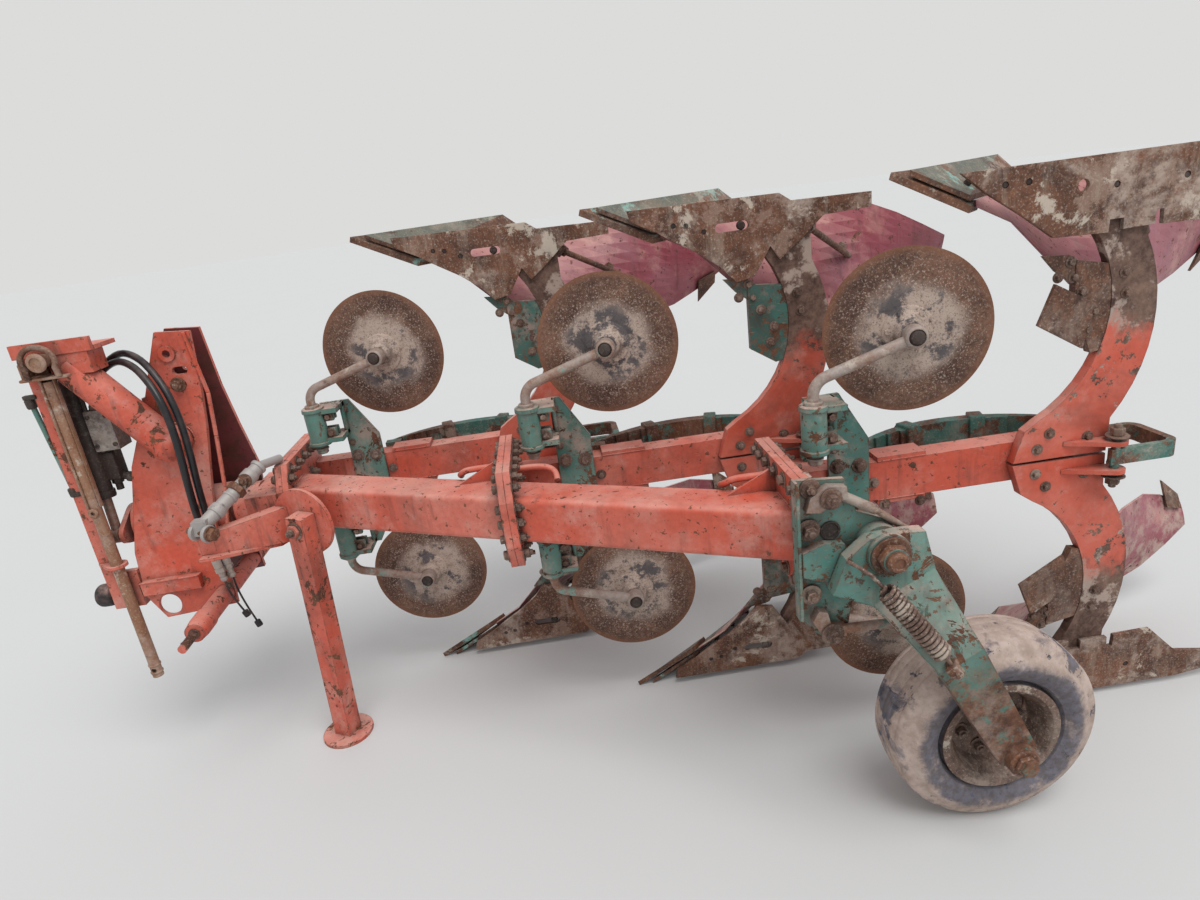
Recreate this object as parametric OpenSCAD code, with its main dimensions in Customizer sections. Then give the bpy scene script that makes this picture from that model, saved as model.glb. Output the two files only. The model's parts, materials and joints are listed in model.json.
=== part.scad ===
// Mounted reversible plough: three furrows, leaf-spring legs and disc coulters.
// X runs to the rear, Y to the plough's right, Z up. The ground is at Z = 0.
// Each furrow has its own frame: its coulter's disc stands at x = 0, y = 0, and
// heights there are counted from the turnover axis.

/* [Layout] */
// Distance between two bodies along the plough
pitch = 802; // [780:1:830]
// Width of one furrow
furrow = 408; // [395:1:420]
// Height of the turnover axis above the ground
axis_h = 885; // [875:1:895]
// Sideways place of the turnover axis
head_y = -140; // [-145:1:-135]
// Place of the first flange, ahead of the first disc
flange_x = -385; // [-390:1:-380]

/* [Main beam] */
// Height of the main beam's tube
beam_h = 150; // [130:1:160]
// Width of the main beam's tube
beam_w = 150; // [130:1:160]
// Rounding of the tube's edges
beam_r = 18; // [10:1:25]
// Sideways place of the main beam at the first flange
beam_y = -155; // [-165:1:-145]
// Thickness of one flange plate
flange_t = 22; // [16:1:26]
// Half height of a flange plate
flange_z = 162; // [150:1:170]

/* [Leg beams] */
// Width of a leg beam
arm_w = 80; // [70:1:84]
// Height of a leg beam
arm_h = 125; // [110:1:130]
// Sideways place of a leg beam in its furrow
arm_y = 96; // [92:1:100]
// Where a leg beam ends
arm_end = 560; // [540:1:580]

/* [Legs] */
// Thickness of a leg plate
leg_t = 32; // [26:1:36]
// Gap between the upper and the lower leg
leg_gap = 8; // [6:1:14]

/* [Bodies] */
// Thickness of a landside plate
side_t = 14; // [10:1:18]
// Thickness of a mouldboard
board_t = 10; // [8:1:14]
// Thickness of a share
share_t = 14; // [10:1:18]

/* [Disc coulters] */
// Radius of a disc
disc_r = 230; // [215:1:235]
// Thickness of a disc
disc_t = 6; // [5:1:8]
// Height of a disc's centre from the turnover axis
disc_z = 465; // [455:1:470]
// Diameter of a coulter's stem
stem_d = 32; // [28:1:36]
// Turn of a disc out of the line of travel
toe = -10; // [-12:1:-8]
// Turn of the lower stems in their clamps
turn_low = 8; // [4:1:10]

/* [Gauge wheel] */
// Radius of the tyre
tyre_r = 290; // [278:1:292]
// Width of the tyre
tyre_w = 212; // [200:1:220]
// Radius of the rim's edge
rim_r = 152; // [148:1:156]
// Middle of the wheel, sideways
wheel_y = -1131; // [-1136:1:-1126]
// Place of the arm's pivot along the plough
pivot_x = 1380; // [1374:1:1386]
// Length of the arm from its pivot to the axle
arm_len = 668; // [655:1:672]

/* [Stand] */
// Depth of the stand's tube
stand_a = 64; // [56:1:66]
// Width of the stand's tube
stand_w = 72; // [60:1:76]

/* [Headstock] */
// Distance between the shoulders of the lower link pins
link_span = 825; // [815:1:835]
// Diameter of the lower link pins
link_d = 28; // [26:1:30]
// Height of the lower link pins above the ground
link_z = 612; // [605:1:618]
// Height of the top link hole above the ground
top_z = 1480; // [1470:1:1490]
// Diameter of the top link hole
top_d = 25.5; // [22:0.5:28]
// Place of the mast along the plough
mast_x = -668; // [-674:1:-662]
// Clear width between the mast's plates at its top
mast_gap = 60; // [54:1:66]
// Thickness of a mast plate
mast_t = 16; // [12:1:18]

/* [Hidden] */
$fn = 48;
eps = 0.01;
gap = 0.3;
N = 3;
skew = atan(furrow / pitch);
function fx(k) = flange_x + k * pitch;
function by(k) = beam_y - k * furrow;
axle_fall = axis_h - tyre_r;
pivot_z = axis_h;
axle_x = pivot_x + sqrt(arm_len * arm_len - axle_fall * axle_fall);
arm_dir = atan2(axle_fall, axle_x - pivot_x);

red = "#b8482f";
crimson = "#8e2f3c";
green = "#3f6f66";
rust = "#6e4a3a";
steel = "#8a8078";
dark = "#2c2a2a";
mud = "#a89c8c";

// The origin is on the ground under the middle of the plough
mid_x = 935.85;
mid_y = -392.5;
module placed() {
    translate([-mid_x, -mid_y, 0]) children();
}

// A furrow's own frame
module furrow(k) {
    translate([k * pitch, -k * furrow, axis_h]) children();
}

// The same pieces above and below the axis
module both() {
    children();
    mirror([0, 0, 1]) children();
}

// An outline in the X-Z plane, extruded from y to y + t
module plate_xz(y, t) {
    translate([0, y + t, 0]) rotate([90, 0, 0]) linear_extrude(t) children();
}

// An outline in the Y-Z plane, extruded from x to x + t
module plate_yz(x, t) {
    translate([x, 0, 0]) rotate([90, 0, 90]) linear_extrude(t) children();
}

module rod(a, b, d) {
    v = b - a;
    l = norm(v);
    translate(a) rotate([0, acos(v[2] / l), atan2(v[1], v[0])]) cylinder(d = d, h = l);
}

// A smooth curve through the route's points
function at(p, i) = p[max(0, min(len(p) - 1, i))];
function curve(p, n) = [for (i = [0:len(p) - 2], j = [0:n - 1]) let (t = j / n, a = at(p, i - 1), b = at(p, i),
    c = at(p, i + 1), d = at(p, i + 2)) 0.5 * (2 * b + (c - a) * t + (2 * a - 5 * b + 4 * c - d) * t * t
    + (3 * b - a - 3 * c + d) * t * t * t), p[len(p) - 1]];
function unit(v) = v / norm(v);
module tube_along(p, r, sides) {
    n = len(p);
    ring = function (i) let (t = unit(at(p, i + 1) - at(p, i - 1)), u = unit(cross([0, 1, 0], t)), w = cross(t, u))
        [for (k = [0:sides - 1]) p[i] + r * (cos(360 * k / sides) * u + sin(360 * k / sides) * w)];
    polyhedron(points = [for (i = [0:n - 1]) each ring(i)],
        faces = concat([[for (k = [0:sides - 1]) k]],
            [for (i = [0:n - 2], k = [0:sides - 1]) let (m = (k + 1) % sides)
                [i * sides + m, i * sides + k, (i + 1) * sides + k, (i + 1) * sides + m]],
            [[for (k = [sides - 1:-1:0]) (n - 1) * sides + k]]));
}

// Square tube outline with arcs at its corners, as exact pieces
module tube_outline(w, h, r) {
    square([w - 2 * r, h], center = true);
    square([w, h - 2 * r], center = true);
    for (x = [-1, 1], y = [-1, 1]) translate([x * (w / 2 - r), y * (h / 2 - r)]) circle(r);
}

// Main beam and its flanges

// Outline of a flange plate; y is counted from the main beam's middle
flange_far = arm_y - beam_y + arm_w / 2 + 10;
module flange_outline() {
    polygon([[-125, -75], [-80, -flange_z], [flange_far, -flange_z], [flange_far, flange_z],
        [-80, flange_z], [-125, 75]]);
}

module flange(k, x) {
    translate([0, by(k), axis_h]) plate_yz(x, flange_t) flange_outline();
}

module main_beam(k) {
    x0 = fx(k) + gap;
    x1 = fx(k + 1) - gap;
    color(red) {
        intersection() {
            translate([fx(k), by(k), axis_h]) rotate([0, 0, -skew]) translate([-100, 0, 0])
                rotate([90, 0, 90]) linear_extrude(pitch / cos(skew) + 200) tube_outline(beam_w, beam_h, beam_r);
            translate([x0, -3000, 0]) cube([x1 - x0, 6000, 3000]);
        }
        flange(k, x0);
        flange(k + 1, x1 - flange_t);
        for (s = [-1, 1]) translate([0, by(k + 1) + 100, axis_h])
            plate_xz(0, 12) polygon([[x1 - flange_t + eps, s * 62], [x1 - flange_t + eps, s * 145],
                [x1 - 190, s * 62]]);
    }
}

// Leg beams

module leg_beam(k) {
    last = k == N - 1;
    x0 = flange_x + gap + (last ? 0 : flange_t + gap);
    color(red) {
        if (last) flange(k, fx(k) + gap);
        furrow(k) translate([x0, arm_y - arm_w / 2, -arm_h / 2]) cube([arm_end - x0, arm_w, arm_h]);
        furrow(k) both() translate([-60, arm_y - arm_w / 2, -arm_h / 2 - 14]) cube([150, arm_w, 14 + eps]);
    }
}

// Legs: crescent plates on the near side of their beam

leg_far = arm_y - arm_w / 2 - gap;
front_c = [240, 455];
front_r = 370;
back_c = [250, 415];
back_r = 497;
function arc(c, r, a0, a1, n) = [for (i = [0:n]) let (a = a0 + (a1 - a0) * i / n) c + r * [cos(a), sin(a)]];

module leg_outline() {
    polygon(concat([[346, leg_gap / 2], [377, 102]], arc(front_c, front_r, -62, 36, 12),
        [[548, 780], [690, 780]], arc(back_c, back_r, 27, -38, 10), [[638, leg_gap / 2]]));
}

module leg(k) {
    color(red) furrow(k) both() {
        plate_xz(leg_far - leg_t, leg_t) leg_outline();
        translate([0, 0, 38]) linear_extrude(14) ear_outline();
    }
}

// Ear that holds the shackle's pin
ear_x = 640;
ear_y = -14;
module ear_outline() {
    difference() {
        hull() {
            translate([ear_x, ear_y]) circle(30);
            translate([500, leg_far - leg_t - 2]) square([130, 3]);
        }
        translate([ear_x, ear_y]) circle(12.5);
    }
}

// Leaf springs: flat arcs on the far side of each leg beam

leaf_n = 5;
leaf_s = 9;
leaf_z = 78;
leaf_mid = 255;
leaf_span = 690;
leaf_rise = 150;
leaf_r = (leaf_span * leaf_span / 4 + leaf_rise * leaf_rise) / (2 * leaf_rise);
leaf_y = arm_y + arm_w / 2 + 28;
module leaf_outline(i) {
    half = asin(leaf_span / 2 / leaf_r) * (1 - 0.14 * i);
    r = leaf_r - i * (leaf_s - 0.5);
    c = [leaf_mid, leaf_y + leaf_rise - leaf_r];
    polygon(concat(arc(c, r, 90 - half, 90 + half, 16), arc(c, r - leaf_s, 90 + half, 90 - half, 16)));
}

module leaf_spring(k) {
    color(rust) furrow(k) {
        for (i = [0:leaf_n - 1]) translate([0, 0, -leaf_z]) linear_extrude(2 * leaf_z) leaf_outline(i);
        translate([leaf_mid - leaf_span / 2 - 10, arm_y + arm_w / 2 + gap, -leaf_z])
            cube([60, 40, 2 * leaf_z]);
    }
}

// Shackles: a strap from the leg's ears round to the leaf spring's end

shackle_h = 50;
module shackle(k) {
    color(green) furrow(k) translate([0, 0, -shackle_h / 2]) {
        linear_extrude(shackle_h) difference() {
            hull() {
                translate([800, 12]) circle(38);
                translate([800, 132]) circle(38);
                translate([ear_x - 20, -26]) square([10, 196]);
            }
            hull() {
                translate([790, 16]) circle(24);
                translate([790, 128]) circle(24);
                translate([ear_x - 40, -8]) square([10, 160]);
            }
        }
        translate([ear_x, ear_y, -38 - 14 + shackle_h / 2 - 10]) cylinder(d = 24, h = 124);
    }
}

// Plough bodies, drawn for the upper body; the lower one is its mirror image

sole = axis_h;
side_y = leg_far - leg_t - gap;

// Landside plate of the front bodies, with its short bar
module landside_short() {
    plate_xz(side_y - side_t, side_t) difference() {
        polygon([[110, 862], [118, 828], [190, 790], [256, 747], [330, 702], [399, 649], [440, 600], [500, 612],
            [555, 700], [585, 655], [650, 705], [731, 774], [886, 780], [886, 826], [628, 830], [590, 857]]);
        hull() for (x = [395, 475]) translate([x, 775]) circle(14);
        for (p = [[250, 800], [290, 795], [345, 770]]) translate(p) circle(8);
    }
}

// Landside plate of the rear bodies, run back to a heel
module landside_long() {
    plate_xz(side_y - side_t, side_t) difference() {
        polygon([[147, 860], [215, 803], [316, 734], [414, 661], [568, 656], [570, 690], [610, 690], [610, 660],
            [700, 662], [702, 700], [722, 700], [724, 660], [850, 658], [950, 760], [1120, 790], [1130, 840],
            [960, 862]]);
        for (p = [[269, 816], [334, 816], [581, 780], [778, 781]]) translate(p) circle(9);
        translate([487, 789]) circle(16);
    }
}

module landside(k) {
    color(rust) furrow(k) both() {
        if (k == N - 1) landside_long(); else landside_short();
    }
}

// A flat plate from four corners, t thick towards v
module quad_plate(p, v) {
    polyhedron(points = concat(p, [for (q = p) q + v]),
        faces = [[0, 1, 2, 3], [7, 6, 5, 4], [0, 4, 5, 1], [1, 5, 6, 2], [2, 6, 7, 3], [3, 7, 4, 0]]);
}

// Share: blade, and the point bolted over its landside corner
module share(k) {
    color(rust) furrow(k) both() {
        quad_plate([[20, 34, sole], [500, 432, sole], [600, 440, 800], [190, 40, 800]], [0, 2, -share_t - 1]);
        quad_plate([[-32, 34, sole], [60, 92, sole - 2], [250, 96, 772], [190, 34, 772]], [-6, 0, -18]);
    }
}

// Mouldboard stations: x, low z, high z, y at the low edge, y at the high edge, hollow
board = [
    [212, 785, 768, 60, 56, 0],
    [320, 785, 712, 168, 60, 12],
    [430, 785, 600, 275, 66, 30],
    [510, 785, 518, 353, 74, 40],
    [600, 785, 466, 441, 112, 52],
    [800, 798, 400, 448, 215, 46],
    [1000, 792, 398, 452, 370, 34],
    [1180, 716, 418, 470, 490, 22],
    [1300, 655, 462, 500, 545, 12],
    [1405, 600, 520, 535, 570, 4]];
board_n = len(board);
board_m = 10;
board_k = 2;
function mix(a, b, t) = a + (b - a) * t;
function station(u) = let (i = min(floor(u), board_n - 2), t = u - i) mix(board[i], board[i + 1], t);
function board_pt(u, v) = let (s = station(u))
    [s[0], mix(s[3], s[4], v) - s[5] * 4 * v * (1 - v), mix(s[1], s[2], v)];

module mouldboard(k) {
    nu = (board_n - 1) * board_k;
    nv = board_m;
    pts = concat(
        [for (i = [0:nu], j = [0:nv]) board_pt(i / board_k, j / nv)],
        [for (i = [0:nu], j = [0:nv]) board_pt(i / board_k, j / nv) + [0, -board_t, 0]]);
    m = (nu + 1) * (nv + 1);
    function id(i, j) = i * (nv + 1) + j;
    fs = concat(
        [for (i = [0:nu - 1], j = [0:nv - 1]) each [[id(i, j), id(i + 1, j), id(i + 1, j + 1)],
            [id(i, j), id(i + 1, j + 1), id(i, j + 1)]]],
        [for (i = [0:nu - 1], j = [0:nv - 1]) each [[m + id(i, j), m + id(i + 1, j + 1), m + id(i + 1, j)],
            [m + id(i, j), m + id(i, j + 1), m + id(i + 1, j + 1)]]],
        [for (i = [0:nu - 1]) each [[id(i, 0), m + id(i, 0), m + id(i + 1, 0)],
            [id(i, 0), m + id(i + 1, 0), id(i + 1, 0)],
            [id(i, nv), m + id(i + 1, nv), m + id(i, nv)],
            [id(i, nv), id(i + 1, nv), m + id(i + 1, nv)]]],
        [for (j = [0:nv - 1]) each [[id(0, j), m + id(0, j + 1), m + id(0, j)],
            [id(0, j), id(0, j + 1), m + id(0, j + 1)],
            [id(nu, j), m + id(nu, j), m + id(nu, j + 1)],
            [id(nu, j), m + id(nu, j + 1), id(nu, j + 1)]]]);
    color(crimson) furrow(k) both() polyhedron(points = pts, faces = [for (f = fs) [f[0], f[2], f[1]]]);
}

// Brackets in front of each leg, under the mouldboard's shin; the rear ones carry a square trash plate
frog_y = leg_far - leg_t + 2;
module frog_bracket(k) {
    color(k == N - 1 ? rust : green) furrow(k) both() {
        plate_xz(frog_y, 26) difference() {
            if (k == N - 1)
                polygon([[496, 590], [640, 560], [640, 330], [560, 318], [500, 470]]);
            else
                polygon([[478, 585], [640, 570], [640, 330], [560, 318], [478, 372]]);
            leg_outline();
            translate([-gap, 0]) leg_outline();
        }
        if (k == N - 1) plate_xz(frog_y - 8, 12) polygon([[392, 420], [436, 532], [560, 462], [530, 336]]);
        plate_xz(frog_y + 4, 12) polygon([[400, 612], [478, 606], [506, 584], [512, 548], [494, 524], [440, 566]]);
    }
}

// Stays between the leg's foot and the back of the mouldboard
stay_u = 5.7;
stay_v = 0.5;
module stays() {
    p = board_pt(stay_u, stay_v) + [0, -board_t - gap - 11, 0];
    color(rust) for (k = [0:N - 1]) furrow(k) both() {
        rod([680, leg_far + gap + 11, 755], p, 22);
        translate([640, leg_far + gap, 735]) cube([60, 24, 40]);
    }
}

// Tail strips bolted to the rear edge of each mouldboard
strip_out = 1.5;
module tail_strips() {
    back = [0, -board_t - 4.5, 0];
    a = board_pt(8, 0.8);
    b = board_pt(8.8, 0.8);
    c = board_pt(8.8, 1);
    d = board_pt(8, 1);
    color(rust) for (k = [0:N - 1]) furrow(k) both()
        quad_plate([d + back + strip_out * (d - a), c + back + strip_out * (c - b), b + back, a + back], [0, -12, 0]);
}

// Disc coulters

mount_y = arm_y - arm_w / 2 - gap;
stem_x = -288;
stem_y = -48;
stem_top = 385;
hub_y = -72;
module coulter_mounts() {
    color(green) for (k = [0:N - 1]) furrow(k) {
        plate_xz(mount_y - 14, 14) polygon([[-215, -300], [-180, -300], [-92, -150], [-92, 150], [-180, 300],
            [-215, 300]]);
        both() difference() {
            union() {
                translate([stem_x, stem_y, 165]) cylinder(r = 36, h = 140);
                translate([stem_x, stem_y - 20, 170]) cube([90, mount_y - stem_y + 18, 18]);
                translate([stem_x, stem_y - 20, 282]) cube([90, mount_y - stem_y + 18, 18]);
            }
            translate([stem_x, stem_y, 100]) cylinder(d = stem_d + 2 * gap, h = 300);
        }
    }
}

// A cranked stem with its axle; it bends over towards the disc's middle
bend_r = 55;
stem_run = norm([stem_x, hub_y - stem_y]);
stem_turn = atan2(hub_y - stem_y, -stem_x);
bend_z = stem_top - bend_r;
bend_d = norm([stem_run - bend_r, disc_z - bend_z]);
stem_rise = atan2(disc_z - bend_z, stem_run - bend_r) - asin(bend_r / bend_d);
stem_path = concat([[0, 0, 150]],
    [for (i = [0:6]) let (a = 180 - (90 - stem_rise) * i / 6) [bend_r + bend_r * cos(a), 0, bend_z + bend_r * sin(a)]],
    [[stem_run, 0, disc_z]]);
module stem() {
    translate([stem_x, stem_y, 0]) rotate([0, 0, stem_turn]) tube_along(stem_path, stem_d / 2, 16);
    translate([0, 0, disc_z]) rotate([90, 0, toe]) {
        translate([0, 0, 52]) cylinder(r = 30, h = 46);
        translate([0, 0, -40]) cylinder(r = 14.9, h = 100);
        translate([0, 0, -58]) cylinder(r = 24, h = 20, $fn = 6);
    }
}

module coulter_stems() {
    color(steel) for (k = [0:N - 1]) furrow(k) {
        stem();
        about_stem() mirror([0, 0, 1]) stem();
    }
}

// The lower coulters stand turned about their stems
module about_stem() {
    translate([stem_x, stem_y, 0]) rotate([0, 0, turn_low]) translate([-stem_x, -stem_y, 0]) children();
}

module disc_form() {
    rotate([90, 0, toe]) rotate_extrude($fn = 96) polygon([[15, -36], [34, -36], [46, -20], [74, -6],
        [disc_r - 20, -disc_t / 2], [disc_r, -0.6], [disc_r, 0.6], [disc_r - 20, disc_t / 2], [74, 6], [46, 26],
        [34, 50], [15, 50]]);
}

module disc(k, up) {
    color(rust) furrow(k) {
        if (up) translate([0, 0, disc_z]) disc_form();
        else about_stem() translate([0, 0, -disc_z]) disc_form();
    }
}

// Gauge wheel

bracket_x = fx(2) + flange_t + 2 * gap;
bracket_y = by(2) - 145;
pad_t = 28;
stop_d = 26;
stop_y = bracket_y - gap - stop_d / 2;
module wheel_bracket() {
    color(green) difference() {
        union() {
            translate([0, 0, axis_h]) plate_xz(bracket_y, 16) polygon([[1176, -196], [1225, -268], [1300, -262],
                [1330, -90], [pivot_x + 46, -50], [pivot_x + 46, 50], [1330, 90], [1300, 186], [1176, 198]]);
            translate([1168, bracket_y - 24, axis_h - 196]) cube([9, 40, 394]);
            translate([bracket_x, bracket_y + 10, axis_h - 150]) cube([20, 150, 300]);
            translate([0, 0, axis_h]) plate_xz(bracket_y - pad_t, pad_t + 2) polygon([[1178, 6], [1237, 26],
                [1288, 18], [1306, -34], [1273, -99], [1178, -62]]);
            translate([pivot_x, bracket_y + 2, axis_h]) rotate([-90, 0, 0]) cylinder(r = 43, h = 48);
        }
        translate([pivot_x, bracket_y - 1, axis_h]) rotate([-90, 0, 0]) cylinder(r = 25.05, h = 60);
    }
}

// The arm's own frame: pivot at the origin, X along the arm
module arm_frame() {
    translate([pivot_x, 0, pivot_z]) rotate([0, arm_dir, 0]) children();
}

arm_far = bracket_y - pad_t - 6;
arm_top = arm_far - 40;
arm_out = wheel_y - tyre_w / 2 - 8;
arm_bend = 300;
arm_box = 60;
arm_half = 62;
module arm_slab(x, y, z0, z1, t) {
    translate([x, y, z0]) cube([12, t, z1 - z0]);
}

module wheel_arm() {
    color(green) arm_frame() {
        plate_xz(arm_top, 40) polygon([[21, -172], [-45, -96], [-62, -20], [-34, 42], [4, 106], [118, 80],
            [118, -98]]);
        hull() {
            arm_slab(110, arm_top, -98, 80, 40);
            arm_slab(arm_bend, arm_out - arm_box, -arm_half, arm_half, arm_box);
        }
        hull() {
            arm_slab(arm_bend, arm_out - arm_box, -arm_half, arm_half, arm_box);
            arm_slab(arm_len - 10, arm_out - arm_box, -52, 52, arm_box);
        }
        translate([0, arm_top - 14, 0]) rotate([-90, 0, 0]) cylinder(r = 56, h = 16);
        translate([0, arm_top - 46, 0]) rotate([-90, 0, 0]) cylinder(r = 32, h = 34);
        translate([0, arm_far - 2, 0]) rotate([-90, 0, 0]) cylinder(r = 56, h = bracket_y - gap - arm_far + 2);
        translate([0, arm_far - 10, 0]) rotate([-90, 0, 0]) cylinder(r = 25, h = bracket_y + 54 - arm_far + 10);
        translate([0, bracket_y + 50 + gap, 0]) rotate([-90, 0, 0]) cylinder(r = 36, h = 12);
        translate([arm_len, arm_out - arm_box - 22, 0]) rotate([-90, 0, 0]) cylinder(r = 42, h = arm_box + 26);
        translate([arm_len, arm_out - arm_box - 50, 0]) rotate([-90, 0, 0]) cylinder(r = 24, h = 30, $fn = 6);
        translate([arm_len, arm_out - 10, 0]) rotate([-90, 0, 0]) cylinder(r = 17, h = wheel_y - arm_out + 72);
        translate([arm_len, wheel_y + 55 + 1, 0]) rotate([-90, 0, 0]) cylinder(r = 28, h = 12);
    }
}

module wheel_rim() {
    color(mud) translate([axle_x, wheel_y, tyre_r]) rotate([-90, 0, 0]) {
        rotate_extrude($fn = 96) polygon([[17.05, -60], [45, -60], [45, -20], [112, -34], [rim_r - 18, -84],
            [rim_r - 6, -97], [rim_r + 14, -97], [rim_r + 14, -91.6], [rim_r, -83], [rim_r, 83],
            [rim_r + 14, 91.6], [rim_r + 14, 97], [rim_r - 6, 97], [rim_r - 18, 84], [128, -14], [45, -4], [45, 55], [17.05, 55]]);
    }
}

module wheel_tyre() {
    color(mud) translate([axle_x, wheel_y, tyre_r]) rotate([-90, 0, 0])
        rotate_extrude($fn = 96) difference() {
            hull() {
                for (s = [-1, 1]) translate([rim_r + 8, s * 78]) circle(8);
                for (s = [-1, 1]) translate([tyre_r - 74, s * (tyre_w / 2 - 52)]) circle(52);
                translate([tyre_r - 20, -70]) square([20, 140]);
            }
            translate([0, -100]) square([rim_r + gap, 200]);
        }
}

// The tension spring's outline, on the arm, with the clamp that holds its lower end
spring_a = [18, arm_top - 58, -64];
spring_b = [262, arm_out - arm_box - 14, -28];
module wheel_spring() {
    color(steel) arm_frame() {
        rod(spring_a, spring_b, 46);
        translate([254, arm_out - arm_box - gap - 34, -56]) cube([46, 34, 56]);
    }
}

// Stop spindles with their castings, above and below the pivot
module wheel_stops() {
    color(steel) translate([0, stop_y, axis_h]) {
        plate_xz(-stop_d / 2, stop_d) polygon([[1192, 118], [1204, 158], [1250, 182], [1296, 174], [1300, 140],
            [1262, 138], [1230, 112]]);
        rod([1280, 0, 152], [1374, 0, 94], stop_d);
        rod([1374, 0, 94], [1462, 0, 22], 18);
        plate_xz(-stop_d / 2, stop_d) polygon([[1216, -170], [1200, -200], [1226, -250], [1290, -256], [1290, -226],
            [1250, -222], [1240, -176]]);
        rod([1280, 0, -241], [1420, 0, -246], stop_d);
    }
}

// Main beam's own frame: X along the beam, Y square to its side, the near side at -Y
module beam_frame() {
    translate([flange_x, by(0), axis_h]) rotate([0, 0, -skew]) children();
}

// Round plate on the near side of the beam, with the stand's pin and the spindle's arm
round_x = 156;
round_y = -150;
round_r = 122;
pin_x = 181;
stand_pin = 12.5;
module round_plate() {
    color(red) {
        beam_frame() {
            translate([round_x, round_y, -15]) rotate([-90, 0, 0]) cylinder(r = round_r, h = 14);
            translate([round_x, round_y + 12, -15]) rotate([-90, 0, 0])
                cylinder(r = 52, h = -round_y - 12 - beam_w / 2 - gap);
            translate([pin_x, round_y + 3, -15]) rotate([90, 0, 0]) cylinder(r = stand_pin, h = stand_a + 21);
            translate([pin_x, round_y - stand_a - 1.3, -15]) rotate([90, 0, 0]) cylinder(r = 24, h = 16, $fn = 6);
        }
        hull() {
            translate([-600, -506, axis_h - 30]) cube([50, 12, 80]);
            beam_frame() translate([44, round_y + 2, -90]) cube([56, 10, 130]);
        }
        hull() {
            translate([-600, -540, axis_h - 32]) cube([50, 40, 10]);
            beam_frame() translate([34, round_y - 38, -92]) cube([40, 44, 10]);
        }
    }
}

// Stand: a square tube on the round plate's pin, with a foot plate
lean = 3.5;
module stand() {
    color(red) {
        beam_frame() translate([pin_x, round_y - gap, -15]) rotate([0, lean, 0]) difference() {
            translate([-stand_w / 2, -stand_a, 21 - axis_h]) cube([stand_w, stand_a, axis_h + 21]);
            rotate([90, 0, 0]) translate([0, 0, -1]) cylinder(r = stand_pin + 0.05, h = stand_a + 2);
        }
        beam_frame() translate([pin_x - (axis_h - 15) * tan(lean), round_y - gap - stand_a / 2, -axis_h])
            cylinder(r = 92, h = 12);
    }
}

// Swing head: what turns over in the headstock with the frame

shaft_r = 55;
head_front = -950;
head_rear = -615;
crank_t = 18;
crank_x = head_front - 17 - crank_t;
module swing_head() {
    color(red) {
        flange(0, flange_x - flange_t);
        translate([crank_x, head_y, axis_h]) rotate([0, 90, 0])
            cylinder(r = shaft_r, h = flange_x - flange_t - crank_x + eps);
        translate([head_rear + 20, head_y, axis_h]) rotate([0, 90, 0]) cylinder(r = 82, h = 90);
        translate([flange_x - flange_t - 110, head_y - 150, axis_h - 75]) cube([110 + eps, 270, 150]);
        translate([crank_x, 0, 0]) crank();
    }
}

// Headstock

splay = 8;
fold_z = 1330;
crank_r = 92;
crank_a = 185.66;
module crank() {
    plate_yz(0, crank_t) hull() {
        translate([head_y, axis_h]) circle(70);
        translate([head_y + crank_r * cos(crank_a), axis_h + crank_r * sin(crank_a)]) circle(34);
    }
}

// One side of the mast; rear is where its rear edge runs
module mast_side(rear) {
    outline = concat([[-690, 1555], [-575, 1545]], rear, [[-645, 700], [-645, 560], [-900, 545], [-958, 640],
        [-956, 800], [-890, 1107]]);
    translate([0, mast_gap / 2, 0]) {
        plate_xz(0, mast_t) difference() {
            intersection() {
                polygon(outline);
                translate([-1200, fold_z]) square([1000, 400]);
            }
            translate([mast_x, top_z]) circle(d = top_d);
            hull() for (x = [-12, 12]) translate([mast_x + 24 + x, top_z - 62]) circle(13);
            translate([mast_x + 20, top_z - 110]) circle(13);
        }
        translate([0, 0, fold_z]) rotate([splay, 0, 0]) translate([0, 0, -fold_z]) plate_xz(0, mast_t)
            intersection() {
                polygon(outline);
                translate([-1200, 0]) square([1000, fold_z + 2]);
            }
        translate([mast_x, mast_t - eps, top_z]) rotate([-90, 0, 0]) difference() {
            cylinder(r = 28, h = 8);
            translate([0, 0, -1]) cylinder(d = top_d, h = 10);
        }
    }
}

module mast() {
    color(red) difference() {
        union() {
            translate([0, head_y, 0]) {
                mast_side([[-545, 1180], [-525, 1000], [-560, 800]]);
                mirror([0, 1, 0]) mast_side([[-606, 1208], [-655, 880]]);
            }
            translate([head_front, head_y, axis_h]) rotate([0, 90, 0]) cylinder(r = 95, h = head_rear - head_front);
            translate([-800, head_y - 42, 1250]) cube([14, 84, 90]);
            translate([-950, -305, 655]) cube([205, 60, 50]);
        }
        translate([mast_x - 12, 0, link_z]) rotate([90, 0, 0]) cylinder(r = 33 + gap, h = 900, center = true);
        translate([-880, 0, 600]) rotate([90, 0, 0]) cylinder(r = 40, h = 900, center = true);
        translate([head_front - 1, head_y, axis_h]) rotate([0, 90, 0])
            cylinder(r = shaft_r + 0.08, h = head_rear - head_front + 2);
    }
}

// Cross shaft with a pin at each end for the tractor's lower links
module cross_shaft() {
    color(red) translate([mast_x - 12, head_y, link_z]) rotate([90, 0, 0]) {
        cylinder(d = 66, h = link_span, center = true);
        cylinder(d = link_d, h = link_span + 2 * 95, center = true);
    }
}

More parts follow.
